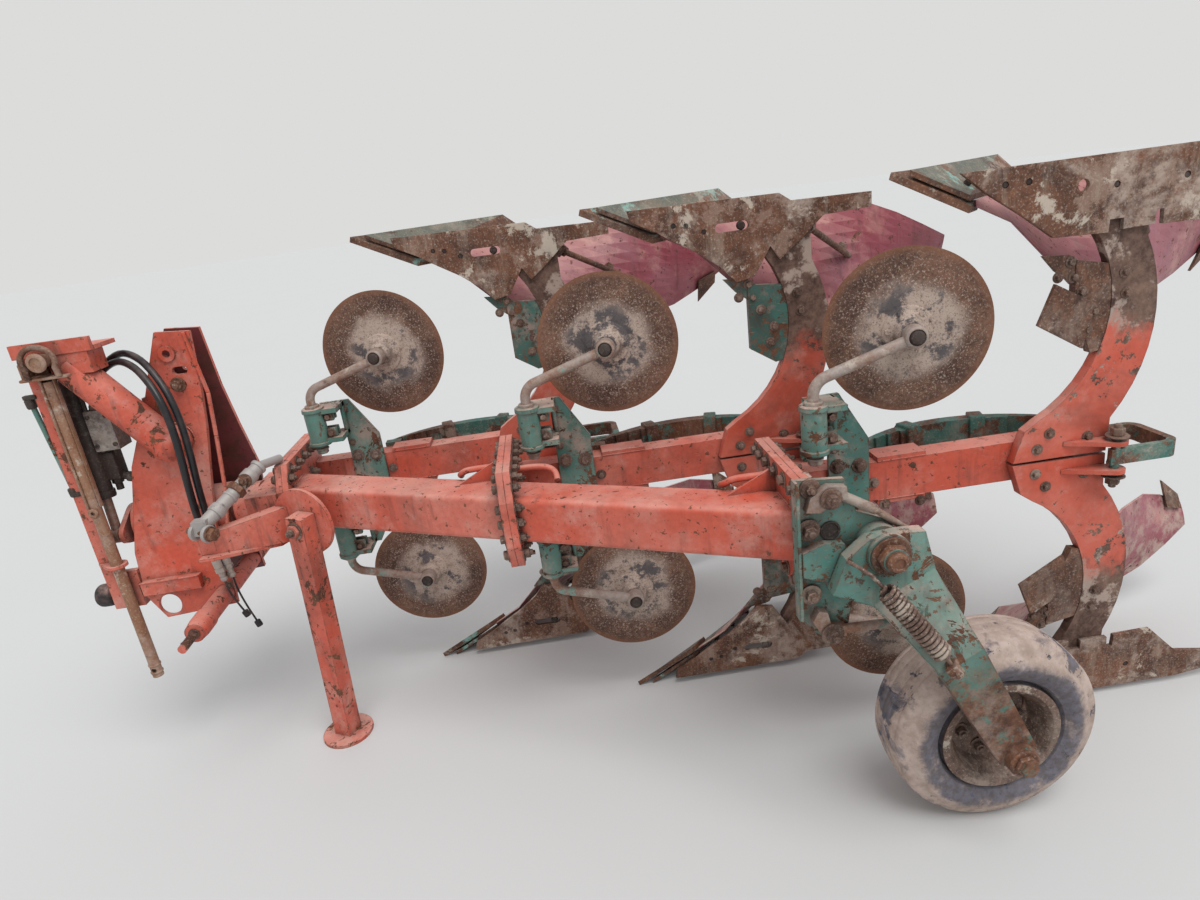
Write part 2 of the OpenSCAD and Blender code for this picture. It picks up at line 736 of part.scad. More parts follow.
arm_tube = 112;
tube_a = [-715, head_y - 122, 1185];
tube_b = [-948, head_y - 122, 1496];
module anchor_arm() {
    color(red) difference() {
        union() {
            rod(tube_a, tube_b, arm_tube);
            translate(tube_a) sphere(d = arm_tube + 6);
            rod(tube_a, tube_a + [0, 76, 0], arm_tube);
            translate([-1080, -310, 1540]) cube([250, 145, 14]);
            translate([-1080, -310, 1540]) cube([250, 14, 45]);
            translate([-968, -306, 1470]) cube([120, 90, 72]);
            for (x = [cyl_x - 29, cyl_x + 19]) {
                plate_yz(x, 10) translate([cyl_top[1], cyl_top[2]]) circle(30);
                translate([x, cyl_top[1] - 30, cyl_top[2]]) cube([10, 60, 1545 - cyl_top[2]]);
            }
            translate(cyl_top + [-29, 0, 0]) rotate([0, 90, 0]) cylinder(r = 12, h = 58);
        }
        translate([0, head_y - mast_gap / 2, fold_z]) rotate([-splay, 0, 0])
            translate([-1200, -mast_t - gap, -400]) cube([900, 400, 400 + gap]);
    }
}

plate_x = -1075;
module guide_plate() {
    color(red) {
        translate([plate_x, -280, 610]) cube([72, 14, 930 - gap]);
        translate([-1010, -280, 700]) cube([1010 - 958 - gap, 25, 50]);
        translate([plate_x, -280, 610]) cube([107, 72, 90]);
        translate([0, 0, 785]) linear_extrude(10) difference() {
            hull() {
                translate([pipe_x, pipe_y]) circle(34);
                translate([plate_x, -282]) square([72, 4]);
            }
            translate([pipe_x, pipe_y]) circle(19.3);
        }
    }
}

pipe_x = -1000;
pipe_y = -305;
module guide_pipe() {
    color(rust) difference() {
        translate([pipe_x, pipe_y, 330]) cylinder(r = 19, h = 1130);
        translate([pipe_x, pipe_y, 325]) cylinder(r = 14, h = 1160);
        translate([pipe_x, pipe_y, 360]) rotate([90, 0, 0]) cylinder(r = 9, h = 100, center = true);
    }
}

// Turnover cylinder: the barrel hangs on the anchor arm, the rod's eye holds the crank's pin
cyl_x = -1005;
cyl_top = [cyl_x, -200, 1490];
pin_at = [cyl_x, head_y + crank_r * cos(crank_a), axis_h + crank_r * sin(crank_a)];
cyl_dir = (pin_at - cyl_top) / norm(pin_at - cyl_top);
module turn_barrel() {
    color(dark) difference() {
        union() {
            rod(cyl_top + 48 * cyl_dir, cyl_top + 470 * cyl_dir, 60);
            rod(cyl_top, cyl_top + 60 * cyl_dir, 30);
            translate(cyl_top) rotate([0, 90, 0]) cylinder(r = 26, h = 36, center = true);
        }
        translate(cyl_top) rotate([0, 90, 0]) cylinder(r = 12.05, h = 60, center = true);
        rod(cyl_top + 330 * cyl_dir, cyl_top + 480 * cyl_dir, 32.1);
    }
}

module turn_rod() {
    color(steel) {
        rod(cyl_top + 335 * cyl_dir, pin_at - 20 * cyl_dir, 32);
        translate(pin_at) rotate([0, 90, 0]) cylinder(r = 28, h = 28, center = true);
        translate(pin_at) rotate([0, 90, 0]) cylinder(r = 13, h = crank_x - cyl_x - gap);
    }
}

module valve_block() {
    color(dark) difference() {
        translate([-968, -245, 1190]) cube([80, 80, 142]);
        rod(tube_a, tube_b, arm_tube + 2 * gap);
    }
}

module bumper() {
    color(dark) translate([plate_x - gap, -245, 656]) rotate([0, -90, 0]) cylinder(r = 42, h = 62);
}

// Hoses from the valve block, over the anchor arm and down beside the mast
hose_d = 24;
hose_n = 2;
hose = [[-945, -185, 1333.6], [-944, -183, 1352], [-930, -160, 1410], [-870, -155, 1498], [-782, -200, 1500], [-705, -265, 1458],
    [-650, -310, 1385], [-622, -330, 1285], [-624, -330, 1185], [-635, -325, 1070], [-645, -318, 940],
    [-636, -314, 820], [-631, -308, 700], [-631, -306, 600], [-645, -306, 530], [-675, -306, 380]];
module hoses() {
    color(dark) for (i = [0:1]) tube_along(curve([for (q = hose) q + [0, -i * (hose_d + 2), 0]], hose_n),
        hose_d / 2, 8);
}

// Spindle that sets the first furrow's width
fork = [-575, -500, axis_h + 50 + gap + 25];
module width_cylinder() {
    color(steel) {
        translate(fork - [24, 18, 25]) cube([48, 36, 50]);
        rod(fork, [-430, -300, 1075], 46);
        rod([-430, -300, 1075], [-392, -205, axis_h + flange_z + gap + 16], 30);
    }
}

for (k = [0:N - 2]) placed() main_beam(k);
for (k = [0:N - 1]) {
    placed() leg_beam(k);
    placed() leg(k);
    placed() frog_bracket(k);
    placed() leaf_spring(k);
    placed() shackle(k);
    placed() share(k);
    placed() landside(k);
    placed() mouldboard(k);
    placed() disc(k, true);
    placed() disc(k, false);
}
placed() stays();
placed() tail_strips();
placed() coulter_mounts();
placed() coulter_stems();
placed() wheel_bracket();
placed() wheel_arm();
placed() wheel_rim();
placed() wheel_tyre();
placed() wheel_spring();
placed() wheel_stops();
placed() stand();
placed() swing_head();
placed() mast();
placed() cross_shaft();
placed() anchor_arm();
placed() guide_plate();
placed() guide_pipe();
placed() turn_barrel();
placed() turn_rod();
placed() valve_block();
placed() bumper();
placed() hoses();
placed() width_cylinder();
placed() round_plate();
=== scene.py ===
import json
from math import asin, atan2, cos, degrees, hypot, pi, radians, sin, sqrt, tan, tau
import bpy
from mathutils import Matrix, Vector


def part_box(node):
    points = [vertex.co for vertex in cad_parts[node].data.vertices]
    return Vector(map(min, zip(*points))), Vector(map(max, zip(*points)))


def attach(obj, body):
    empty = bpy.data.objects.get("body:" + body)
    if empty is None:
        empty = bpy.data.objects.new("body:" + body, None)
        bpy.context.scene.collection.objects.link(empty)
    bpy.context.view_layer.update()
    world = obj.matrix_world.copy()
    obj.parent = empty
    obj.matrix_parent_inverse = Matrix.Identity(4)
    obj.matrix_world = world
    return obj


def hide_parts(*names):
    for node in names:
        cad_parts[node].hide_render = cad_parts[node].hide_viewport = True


bl_info = {
    "name": "Mounted reversible plough",
    "version": (1, 0, 0),
    "blender": (4, 5, 0),
    "location": "View3D > Sidebar > Plough",
    "description": "Dresses the packed plough with its fasteners, hoses, coil spring, worn paint and rust",
    "category": "Add Mesh",
}

import bmesh
import bpy
from bpy.props import BoolProperty, FloatProperty, FloatVectorProperty, IntProperty, PointerProperty
from mathutils import Matrix, Vector

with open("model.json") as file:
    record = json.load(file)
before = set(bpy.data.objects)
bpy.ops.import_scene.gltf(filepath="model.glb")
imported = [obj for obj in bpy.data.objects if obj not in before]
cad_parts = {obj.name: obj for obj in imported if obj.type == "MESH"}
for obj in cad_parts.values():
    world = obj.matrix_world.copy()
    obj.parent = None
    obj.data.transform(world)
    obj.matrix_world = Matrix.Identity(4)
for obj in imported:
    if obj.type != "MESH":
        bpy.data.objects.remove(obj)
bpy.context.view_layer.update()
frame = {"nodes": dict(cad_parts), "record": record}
NODES = frame["nodes"]

# Sizes that the part's source also names, in millimetres
PITCH, FURROW, AXIS_H = 802.0, 408.0, 885.0
MID_X, MID_Y, HEAD_Y = 935.85, -392.5, -140.0
FLANGE_X, FLANGE_T = -385.0, 22.0
BEAM_Y, BEAM_W, BEAM_H = -155.0, 150.0, 150.0
ARM_Y, ARM_W, ARM_H = 96.0, 80.0, 125.0
SKEW = atan2(FURROW, PITCH)
FURROWS = (0, 1, 2)

# Directions: the plough's near side is at -Y, and it travels towards -X
NEAR, FAR, AHEAD, BACK, UP, DOWN = (0, -1, 0), (0, 1, 0), (-1, 0, 0), (1, 0, 0), (0, 0, 1), (0, 0, -1)


# Places

def spot(x, y, z):
    """A point of the plough's drawing, in millimetres, as a place in the scene."""
    return Vector(((x - MID_X) / 1000, (y - MID_Y) / 1000, z / 1000))


def in_furrow(k, x, y, z):
    """A point of one furrow's own frame, whose heights are counted from the turnover axis."""
    return spot(x + k * PITCH, y - k * FURROW, z + AXIS_H)


def on_beam(x, y, z):
    """A point of the main beam's frame: X along the beam, the near side at -Y."""
    c, s = cos(SKEW), sin(SKEW)
    return spot(FLANGE_X + x * c + y * s, BEAM_Y - x * s + y * c, AXIS_H + z)


def round_spot(x, y, z, radius, turn):
    """A point on an upright circle about a point of the drawing, seen from the near side."""
    angle = radians(turn)
    return spot(x + radius * cos(angle), y, z + radius * sin(angle))


def facing(point, way, turn=0.0):
    """The matrix that stands a piece made along Z on a point, pointing the given way."""
    way = Vector(way).normalized()
    return Matrix.Translation(point) @ way.to_track_quat("Z", "Y").to_matrix().to_4x4() @ Matrix.Rotation(turn, 4, "Z")


def near(x, y, z):
    """A place on a point of the drawing that faces the plough's near side."""
    return facing(spot(x, y, z), NEAR)


def middle_of(node):
    """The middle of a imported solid's box."""
    low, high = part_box(node)
    return (low + high) / 2


def raised(place, height):
    """A place moved along its own Z by some millimetres."""
    return place @ Matrix.Translation((0, 0, height / 1000))


def linear(code):
    """A colour written as six hex digits, as the linear numbers that Blender keeps."""
    shades = [int(code[i:i + 2], 16) / 255 for i in (0, 2, 4)]
    return tuple(c / 12.92 if c <= 0.04045 else ((c + 0.055) / 1.055) ** 2.4 for c in shades)


# Finishes

class Reading:
    """A shader socket that carries a number; arithmetic on it adds Math nodes."""

    def __init__(self, nodes, socket):
        self.nodes, self.socket = nodes, socket

    def math(self, operation, first, second=0.0, clamp=False):
        return self.nodes.read(0, "Math", {0: first, 1: second}, operation=operation, use_clamp=clamp)

    def __add__(self, other):
        return self.math("ADD", self, other)

    def __sub__(self, other):
        return self.math("SUBTRACT", self, other)

    def __rsub__(self, other):
        return self.math("SUBTRACT", other, self)

    def __mul__(self, other):
        return self.math("MULTIPLY", self, other)

    def __abs__(self):
        return self.math("ABSOLUTE", self)

    __radd__, __rmul__ = __add__, __mul__

    def most(self, other):
        return self.math("MAXIMUM", self, other)

    def clamped(self):
        return self.math("ADD", self, clamp=True)

    def between(self, low, high):
        """0 below low, 1 above high, and a smooth step between them; low may be the larger."""
        return self.nodes.read(0, "MapRange", {"Value": self, "From Min": low, "From Max": high},
                               interpolation_type="SMOOTHSTEP")

    def blend(self, first, second):
        """The first number where the reading is 0, the second where it is 1."""
        return self * (second - first) + first


class Nodes:
    """A node tree, with short ways to add a node and to link or set its inputs."""

    def __init__(self, tree):
        self.tree = tree
        tree.nodes.clear()

    def node(self, kind, inputs=None, **settings):
        made = self.tree.nodes.new("ShaderNode" + kind)
        for key, value in settings.items():
            setattr(made, key, value)
        self.fill(made, inputs or {})
        return made

    def fill(self, made, inputs):
        for key, value in inputs.items():
            value = value.socket if isinstance(value, Reading) else value
            if isinstance(value, bpy.types.NodeSocket):
                self.tree.links.new(value, made.inputs[key])
            elif made.inputs[key].type == "RGBA" and len(value) == 3:
                made.inputs[key].default_value = (*value, 1.0)
            else:
                made.inputs[key].default_value = value

    def read(self, output, kind, inputs=None, **settings):
        """One output of a new node, as a number to calculate with."""
        return Reading(self, self.node(kind, inputs, **settings).outputs[output])


class Finish(Nodes):
    """One procedural material on Object coordinates; colour is what its coats have come to so far."""

    def __init__(self, name, colour, metallic=0.0, specular=0.4):
        self.material = bpy.data.materials.new(name)
        self.material.use_nodes = True
        super().__init__(self.material.node_tree)
        self.shader = self.node("BsdfPrincipled", {"Metallic": metallic, "Specular IOR Level": specular})
        self.node("OutputMaterial", {"Surface": self.shader.outputs[0]})
        self.place = self.node("TexCoord").outputs["Object"]
        self.normal = self.node("NewGeometry").outputs["Normal"]
        self.colour = colour

    def noise(self, scale, detail=4.0, rough=0.6, stretch=None, warp=0.0, shift=None):
        where = self.place
        if stretch or shift:
            where = self.node("Mapping", {"Vector": where, "Scale": stretch or (1, 1, 1),
                                          "Location": shift or (0, 0, 0)}).outputs[0]
        return self.read(0, "TexNoise", {"Vector": where, "Scale": scale, "Detail": detail, "Roughness": rough,
                                         "Distortion": warp})

    def along(self, way, axis):
        """The x, y or z of the surface's place or of its normal."""
        return self.read("xyz".index(axis), "SeparateXYZ", {0: way})

    def upward(self):
        """1 where the surface looks up, -1 where it looks down."""
        return self.along(self.normal, "z")

    def spoke(self, centre):
        """Distance of the surface's place from an axis along Y."""
        flat = self.node("Mapping", {"Vector": self.place, "Scale": (1.0, 0.0, 1.0)}).outputs[0]
        return self.read("Value", "VectorMath", {0: flat, 1: (centre[0], 0.0, centre[2])}, operation="DISTANCE")

    def away(self, centre):
        """Distance of the surface's place from a point."""
        return self.read("Value", "VectorMath", {0: self.place, 1: tuple(centre)}, operation="DISTANCE")

    def rounding(self, radius):
        """The normal of a surface whose edges are bevelled."""
        return self.node("Bevel", {"Radius": radius}, samples=4).outputs[0]

    def edges(self, radius):
        """1 on edges and 0 on flat faces, from the difference to the bevelled normal."""
        same = self.read("Value", "VectorMath", {0: self.rounding(radius), 1: self.normal}, operation="DOT_PRODUCT")
        return (1.0 - same).between(0.0, 0.12)

    def shade_in_corners(self, reach=0.05):
        """1 in corners and behind plates, where light is blocked, and 0 in the open: the mask of painted shade."""
        return 1.0 - self.read("AO", "AmbientOcclusion", {"Distance": reach}, samples=4)

    def mix(self, share, first, second):
        return self.node("Mix", {0: share, 6: first, 7: second}, data_type="RGBA").outputs[2]

    def coat(self, share, shade):
        """Lays a colour over what is there, by a share of it."""
        self.colour = self.mix(share, self.colour, shade)

    def done(self, roughness, height=None, strength=0.4, distance=0.0015, round_edges=0.0025):
        """Gives the shader its colour, roughness and bump, and returns the material."""
        inputs = {"Base Color": self.colour, "Roughness": roughness}
        if round_edges:
            inputs["Normal"] = self.rounding(round_edges)
        if height:
            bump = {"Height": height, "Strength": strength, "Distance": distance}
            if round_edges:
                bump["Normal"] = inputs["Normal"]
            inputs["Normal"] = self.node("Bump", bump).outputs[0]
        self.fill(self.shader, inputs)
        return self.material


def rust_colour(finish, dark, light, fine=55.0):
    """Rust in two tones, mottled at two sizes."""
    broad = finish.noise(7.0, 5.0, 0.65).between(0.35, 0.68)
    grain = finish.noise(fine, 6.0, 0.7).between(0.3, 0.75)
    return finish.mix((broad * 0.55 + grain * 0.5).clamped(), dark, light)


def worn_paint(name, c, paint, faded, chips=0.5, dust=0.6, mud=0.5, edge=0.004, dirt=0.35, scour=None, inner=None):
    """Paint with fading, dust on top whose light colour also paints the light from above, painted shade in corners,
    chips to rust and mud near the ground.

    scour is a point and two distances from it between which the paint wears off; inner is a height Y and a colour of
    painted shade for the faces that look towards it."""
    f = Finish(name, paint)
    grain = f.noise(70.0, 5.0)
    f.coat(f.noise(2.6).between(0.35, 0.72) * 0.85, faded)
    f.coat(grain.between(0.35, 0.75) * 0.25, c.deep)
    f.coat(f.noise(3.7, 7.0, 0.68, warp=0.5, shift=(5.0, 2.0, 8.0)).between(0.44, 0.70) * dirt, c.grime)
    chalk = f.noise(6.5, 8.0, 0.72, shift=(1.0, 9.0, 4.0)).between(0.49, 0.68)
    f.coat(chalk * 0.5, c.faded_dust)
    runs = f.noise(9.0, stretch=(3.0, 3.0, 0.35)).between(0.52, 0.76)
    f.coat(runs * (dirt + 0.15), c.grime)
    sound = f.noise(1.9, 5.0, 0.62, shift=(3.0, 7.0, 6.0)).between(0.50, 0.68)
    f.coat(sound * 0.45, paint)
    # Dust on upward faces, in a colour lightened also to paint the light from above
    dust_and_light_film = f.upward().between(0.25, 0.95) * f.noise(5.0, 6.0, 0.65).between(0.25, 0.62)
    f.coat(dust_and_light_film * dust, c.dust)
    # Painted shade: corners and faces behind plates are darkened in the grime colour
    f.coat(f.shade_in_corners(0.06).between(0.2, 0.85) * 0.8, c.grime)
    splash = f.along(f.place, "z").between(0.75, 0.05) * f.noise(16.0, 7.0, 0.7).between(0.42, 0.62)
    f.coat(splash * mud, c.mud)
    rims = f.edges(edge) * f.noise(26.0, 5.0, 0.7).between(0.38, 0.6)
    flakes = f.noise(11.0, 8.0, 0.72, warp=0.6).between(0.695 - 0.08 * chips, 0.71 - 0.08 * chips)
    specks = f.noise(46.0, 4.0, 0.62, shift=(7.0, 3.0, 2.0)).between(0.655 - 0.04 * chips, 0.68 - 0.04 * chips)
    bare = rims * min(1.0, 0.5 + chips) + flakes + specks * 0.85
    under = rust_colour(f, c.rust_dark, c.rust)
    if scour:
        centre, inside, outside = scour
        worn = (f.away(centre) + f.noise(9.0, 8.0, 0.74, warp=0.7) * 0.42).between(inside, outside)
        bare = bare + worn
        under = f.mix(worn * f.noise(13.0, 7.0, 0.7).between(0.42, 0.66) * 0.35, under, c.mud)
        left = f.noise(17.0, 9.0, 0.76, shift=(4.0, 4.0, 1.0)).between(0.54, 0.60)
        under = f.mix(left * 0.65, under, paint)
    bare = bare.clamped()
    f.coat(bare, under)
    scratch = f.noise(30.0, 3.0, 0.5, stretch=(1.0, 8.0, 14.0)).between(0.68, 0.73)
    f.coat(scratch * 0.4 * min(1.0, chips), c.faded_dust)
    # Painted shade: faces that look in towards the height Y, between the mast's plates, get a dark colour with
    # blotches of dark rust
    if inner:
        middle, shade = inner
        side = (f.along(f.place, "y") - middle) * f.along(f.normal, "y")
        blotch = f.noise(10.0, 8.0, 0.7, warp=0.5).between(0.42, 0.62)
        f.coat(side.between(-0.002, -0.012) * 0.92, f.mix(blotch, shade, c.rust_dark))
    dull = (bare + dust_and_light_film * 0.7 + splash).clamped()
    return f.done(dull.blend(0.45, 0.85), bare * -1.0 + grain * 0.25 + chalk * 0.1)


def rusty_steel(name, c, dark, light, mud=0.4, paint=None, left=0.25, metallic=0.15, fine=60.0, scale=1.0,
                upper=None):
    """Bare steel under rust, with dried mud, what is left of its paint, and a tint of faces that look up."""
    f = Finish(name, None, metallic)
    f.colour = rust_colour(f, dark, light, fine)
    if paint:
        rest = f.noise(6.0 * scale, 8.0, 0.74, shift=(3.1, 0.7, 1.9)).between(0.60 - left * 0.3, 0.65 - left * 0.3)
        f.coat(rest * 0.85, paint)
    streak = f.noise(13.0, 8.0, 0.74, stretch=(1.0, 1.0, 0.18), shift=(6.0, 2.0, 5.0)).between(0.50, 0.66)
    f.coat(streak * mud * 0.3, c.pale)
    f.coat(f.noise(5.0 * scale, 9.0, 0.74, shift=(8.0, 1.0, 3.0), warp=0.3).between(0.56, 0.60) * mud, c.pale)
    if upper:
        shine = f.upward().between(0.72, 0.88) * f.noise(8.0, 8.0, 0.7, warp=0.4).between(0.32, 0.50)
        f.coat(shine * 0.85, upper)
    f.coat(f.noise(150.0).between(0.52, 0.70) * min(0.45, mud), c.mud)
    broad = f.noise(4.0 * scale, 6.0, 0.68, warp=0.4).between(0.50, 0.64)
    cake = broad * f.noise(34.0, 6.0, 0.7).between(0.3, 0.6)
    f.coat(cake * mud, c.mud)
    pit = f.noise(24.0, 7.0, 0.72, shift=(2.0, 6.0, 3.0)).between(0.60, 0.70)
    f.coat(pit * 0.55, c.rust_dark)
    # Painted shade: corners and faces behind plates are darkened in the grime colour
    f.coat(f.shade_in_corners().between(0.3, 0.95) * 0.6, c.grime)
    return f.done(cake.blend(0.6, 0.9), f.noise(fine * 1.6, 5.0, 0.7) + cake * 1.2 - pit * 0.6, 0.5, 0.002)


def tip_worn_paint(name, c):
    """The legs' paint: red at the beam, scoured to dark rusty metal towards both tips."""
    f = Finish(name, c.red, 0.1)
    f.coat(f.noise(3.1).between(0.35, 0.72) * 0.7, c.red_faded)
    f.coat(f.noise(60.0, 5.0).between(0.4, 0.8) * 0.2, c.deep)
    f.coat(f.noise(4.3, 7.0, 0.68, warp=0.5, shift=(5.0, 2.0, 8.0)).between(0.46, 0.70) * 0.4, c.grime)
    f.coat(f.noise(7.5, 8.0, 0.72, shift=(1.0, 9.0, 4.0)).between(0.50, 0.70) * 0.45, c.faded_dust)
    reach = abs(f.along(f.place, "z") - AXIS_H / 1000)
    tip = (reach + f.noise(9.0, 7.0, 0.7, stretch=(1.0, 1.0, 0.5)) * 0.34).between(0.50, 0.60)
    flecks = (reach * 0.30 + f.noise(21.0, 8.0, 0.72)).between(0.655, 0.675)
    bare = (tip + flecks + f.edges(0.005) * f.noise(22.0).between(0.35, 0.6)).clamped()
    pale = f.noise(5.5, 7.0, 0.7, shift=(1.0, 2.0, 3.0)).between(0.54, 0.60)
    f.coat(bare, f.mix(pale * 0.7, rust_colour(f, c.rust_dark, c.rust_grey), c.mud))
    # Dust on upward faces, in a colour lightened also to paint the light from above
    f.coat(f.upward().between(0.3, 0.95) * f.noise(6.0, 5.0).between(0.3, 0.7) * 0.5, c.dust)
    # Painted shade: corners and faces behind plates are darkened in the grime colour
    f.coat(f.shade_in_corners().between(0.3, 0.9) * 0.7, c.grime)
    return f.done(bare.blend(0.42, 0.7), bare * -1.0 + f.noise(90.0, 5.0, 0.7) * 0.6)


def disc_finish(name, c, centre):
    """A scoured disc: rusty, speckled, with dried mud round its hub."""
    f = Finish(name, None, 0.25)
    out = f.away(centre)
    f.colour = rust_colour(f, c.rust_dark, f.mix(0.45, c.rust, c.rust_grey), 80.0)
    inner = (out + f.noise(5.0, 5.0, 0.65, warp=0.5) * 0.15).between(0.238, 0.180)
    f.coat(inner * f.noise(30.0, 7.0, 0.7).between(0.24, 0.50) * 0.92, c.mud)
    fringe = out.between(0.240, 0.120) * 0.65 + 0.25
    f.coat(f.noise(170.0, 5.0, 0.74).between(0.545, 0.60) * fringe, c.mud)
    f.coat(f.noise(190.0, 5.0, 0.74, shift=(9.0, 2.0, 5.0)).between(0.54, 0.62) * 0.6, c.rust_dark)
    halo = out.between(0.150, 0.110) * out.between(0.050, 0.070)
    stain = (f.noise(9.0, 8.0, 0.74, shift=(4.0, 1.0, 2.0)) + halo * 0.05).between(0.53, 0.60)
    f.coat(stain * inner * 0.85, c.rubber_dusty)
    f.coat((out + f.noise(14.0, 7.0, 0.72) * 0.08).between(0.098, 0.078) * 0.6, c.grime)
    f.coat(out.between(0.205, 0.228) * 0.6, c.rust)
    return f.done(inner.blend(0.55, 0.88), f.noise(140.0, 5.0, 0.7) + inner * 0.6, 0.45, 0.0018, round_edges=0.0)


def tyre_finish(name, c, centre):
    """Black rubber under a coat of dried mud, rubbed off in a ring round the rim, in smears and in flakes."""
    f = Finish(name, None, 0.0, 0.3)
    out = f.spoke(centre)
    cover = f.noise(6.0, 8.0, 0.7, warp=0.8)
    torn = f.noise(28.0, 8.0, 0.75, shift=(1.0, 4.0, 2.0)) * 0.05
    ring = (out + cover * 0.07 + torn).between(0.302, 0.275) * f.noise(12.0, 8.0, 0.72).between(0.24, 0.46)
    smear = f.noise(6.0, 7.0, 0.66, stretch=(1.0, 0.6, 1.0), shift=(2.0, 5.0, 1.0), warp=0.5).between(0.595, 0.63)
    bands = (out + f.noise(3.0) * 0.03).between(0.276, 0.284) * cover.between(0.50, 0.60)
    flake = f.noise(24.0, 9.0, 0.76).between(0.605, 0.622)
    black = (ring * 0.85 + smear * 0.8 + flake + bands * 0.6).clamped()
    crust = f.mix(f.noise(20.0, 8.0, 0.7).between(0.3, 0.68), c.tyre_mud, c.tyre_mud_light)
    rubber = f.mix(f.noise(60.0, 5.0).between(0.35, 0.7), c.rubber_dusty, c.rubber_blue)
    f.colour = f.mix(black, crust, rubber)
    return f.done(black.blend(0.92, 0.7), f.noise(55.0, 7.0, 0.7) - black * 0.8, 0.45, 0.0025, round_edges=0.0)


def rubber_finish(name, c, dusty, rough):
    f = Finish(name, c.rubber, 0.0, 0.5)
    dust_and_light_film = f.noise(14.0, 6.0, 0.65).between(0.4, 0.75)
    # Dust, more of it on upward faces, in a colour lightened also to paint the light from above
    f.coat((dust_and_light_film * 0.5 + f.upward().between(0.2, 0.95) * dust_and_light_film).clamped() * dusty, c.dust)
    return f.done(dust_and_light_film.blend(rough, rough + 0.25), f.noise(160.0, 3.0, 0.5), 0.2, 0.0006, round_edges=0.0)


def floor_finish(name, colour):
    f = Finish(name, colour, 0.0, 0.2)
    f.coat(f.noise(0.8, 3.0, 0.5).between(0.2, 0.8) * 0.05, tuple(c * 0.8 for c in colour))
    return f.done(0.9, round_edges=0.0)


def make_finishes(c):
    """Every finish under a short name, with the record's slot that its pieces ask for.

    The first finish of a slot is the one that the slot's solids get, unless OWN_FINISH names another."""
    red, green, rust = (c.red, c.red_faded), (c.green, c.green_faded), (c.rust_dark, c.rust)
    bumper = rubber_finish("bumper_rubber", c, 0.4, 0.6)
    green_wear = {"dust": 0.7, "mud": 0.6, "edge": 0.007}
    made = {
        "frame": (worn_paint("frame_paint", c, *red, chips=0.75, dust=0.42), "frame_paint"),
        "swing": (worn_paint("swing_paint", c, *red, chips=0.8, dust=0.4, dirt=0.9), "frame_paint"),
        "head": (worn_paint("head_paint", c, *red, chips=1.2, dust=0.4, mud=0.3), "head_paint"),
        # The mast's faces between its plates get a dark maroon of painted shade
        "mast": (worn_paint("mast_paint", c, *red, chips=0.8, dust=0.4, mud=0.3,
                            inner=((HEAD_Y - MID_Y) / 1000, c.mast_inner_shade)), "head_paint"),
        "stand": (worn_paint("stand_paint", c, *red, chips=1.5, dust=0.5, mud=0.3, dirt=0.5, edge=0.007),
                  "frame_paint"),
        "green": (worn_paint("green_paint", c, *green, chips=1.4, **green_wear), "green_paint"),
        "arm": (worn_paint("arm_paint", c, *green, chips=1.5, scour=(spot(PIVOT_X, -1250, AXIS_H), 0.50, 0.66),
                           **green_wear), "green_paint"),
        "legs": (tip_worn_paint("leg_paint", c), "leg_paint"),
        # The brackets under the upper bodies get the darker green of painted shade
        "bracket": (worn_paint("bracket_paint", c, c.green_in_shade, c.green, chips=1.9, dust=0.4, edge=0.007, dirt=0.9),
                    "bracket_paint"),
        "boards": (worn_paint("board_paint", c, c.crimson, c.crimson_faded, chips=0.7, dust=0.5, mud=0.9),
                   "board_paint"),
        "weld": (worn_paint("weld_paint", c, c.red, c.deep, chips=0.9, dust=0.5), "frame_paint"),
        "tyre": (tyre_finish("tyre_rubber", c, middle_of("wheel_tyre")), "tyre"),
        "bumper": (bumper, "bumper_rubber"),
        "hose": (rubber_finish("hose_rubber", c, 0.10, 0.3), "hose_rubber"),
        "cap": (bumper, "hose_rubber"),
    }
    # Short name, the finish's name, its slot, two tones of rust, and what differs from plain rusty steel
    for key, name, slot, tones, more in (
            ("shares", "share_steel", "share_steel", rust,
             {"mud": 0.35, "paint": c.teal, "left": 0.1, "upper": c.teal}),
            ("landsides", "landside_steel", "landside_steel", rust, {"mud": 0.75, "paint": c.rust_grey, "left": 0.2}),
            ("springs", "spring_steel", "spring_steel", rust, {"mud": 0.3, "paint": c.green, "left": 0.36}),
            ("rust", "rusty_steel", "rusty_steel", rust, {"mud": 0.35}),
            ("stems", "stem_steel", "stem_steel", (c.rust, c.bare),
             {"mud": 0.35, "paint": c.green_faded, "left": 0.1, "scale": 2.0}),
            ("rim", "rim_paint", "rim_paint", (c.grime, c.rust_grey), {"mud": 0.6}),
            ("bare", "bare_steel", "bare_steel", (c.rust, c.bare),
             {"mud": 0.25, "metallic": 0.4, "paint": c.green, "left": 0.15}),
            ("coil", "coil_steel", "bare_steel", (c.rust_dark, c.rust_grey),
             {"mud": 0.5, "metallic": 0.2, "fine": 120.0}),
            ("zinc", "zinc_steel", "bare_steel", (c.bare, c.zinc), {"mud": 0.3, "metallic": 0.3}),
            ("pipe", "pipe_steel", "rusty_steel", (c.rust, c.tan), {"mud": 0.6}),
            ("oily", "cylinder_paint", "cylinder_paint", (c.oily, c.grime), {"mud": 0.1, "metallic": 0.0}),
            ("bolts", "bolt_steel", "rusty_steel", (c.rust_dark, c.rust_grey),
             {"mud": 0.3, "metallic": 0.3, "fine": 160.0}),
            ("plough_bolts", "plough_bolt_steel", "rusty_steel", (c.oily, c.rust_dark), {"mud": 0.15}),
            ("valve", "valve_paint", "cylinder_paint", (c.grime, c.bare), {"mud": 0.2, "metallic": 0.0})):
        made[key] = rusty_steel(name, c, *tones, **more), slot
    return made


# Settings

def colour_prop(name, code, description):
    return FloatVectorProperty(name=name, subtype="COLOR", size=3, min=0.0, max=1.0, default=linear(code),
                               description=description)


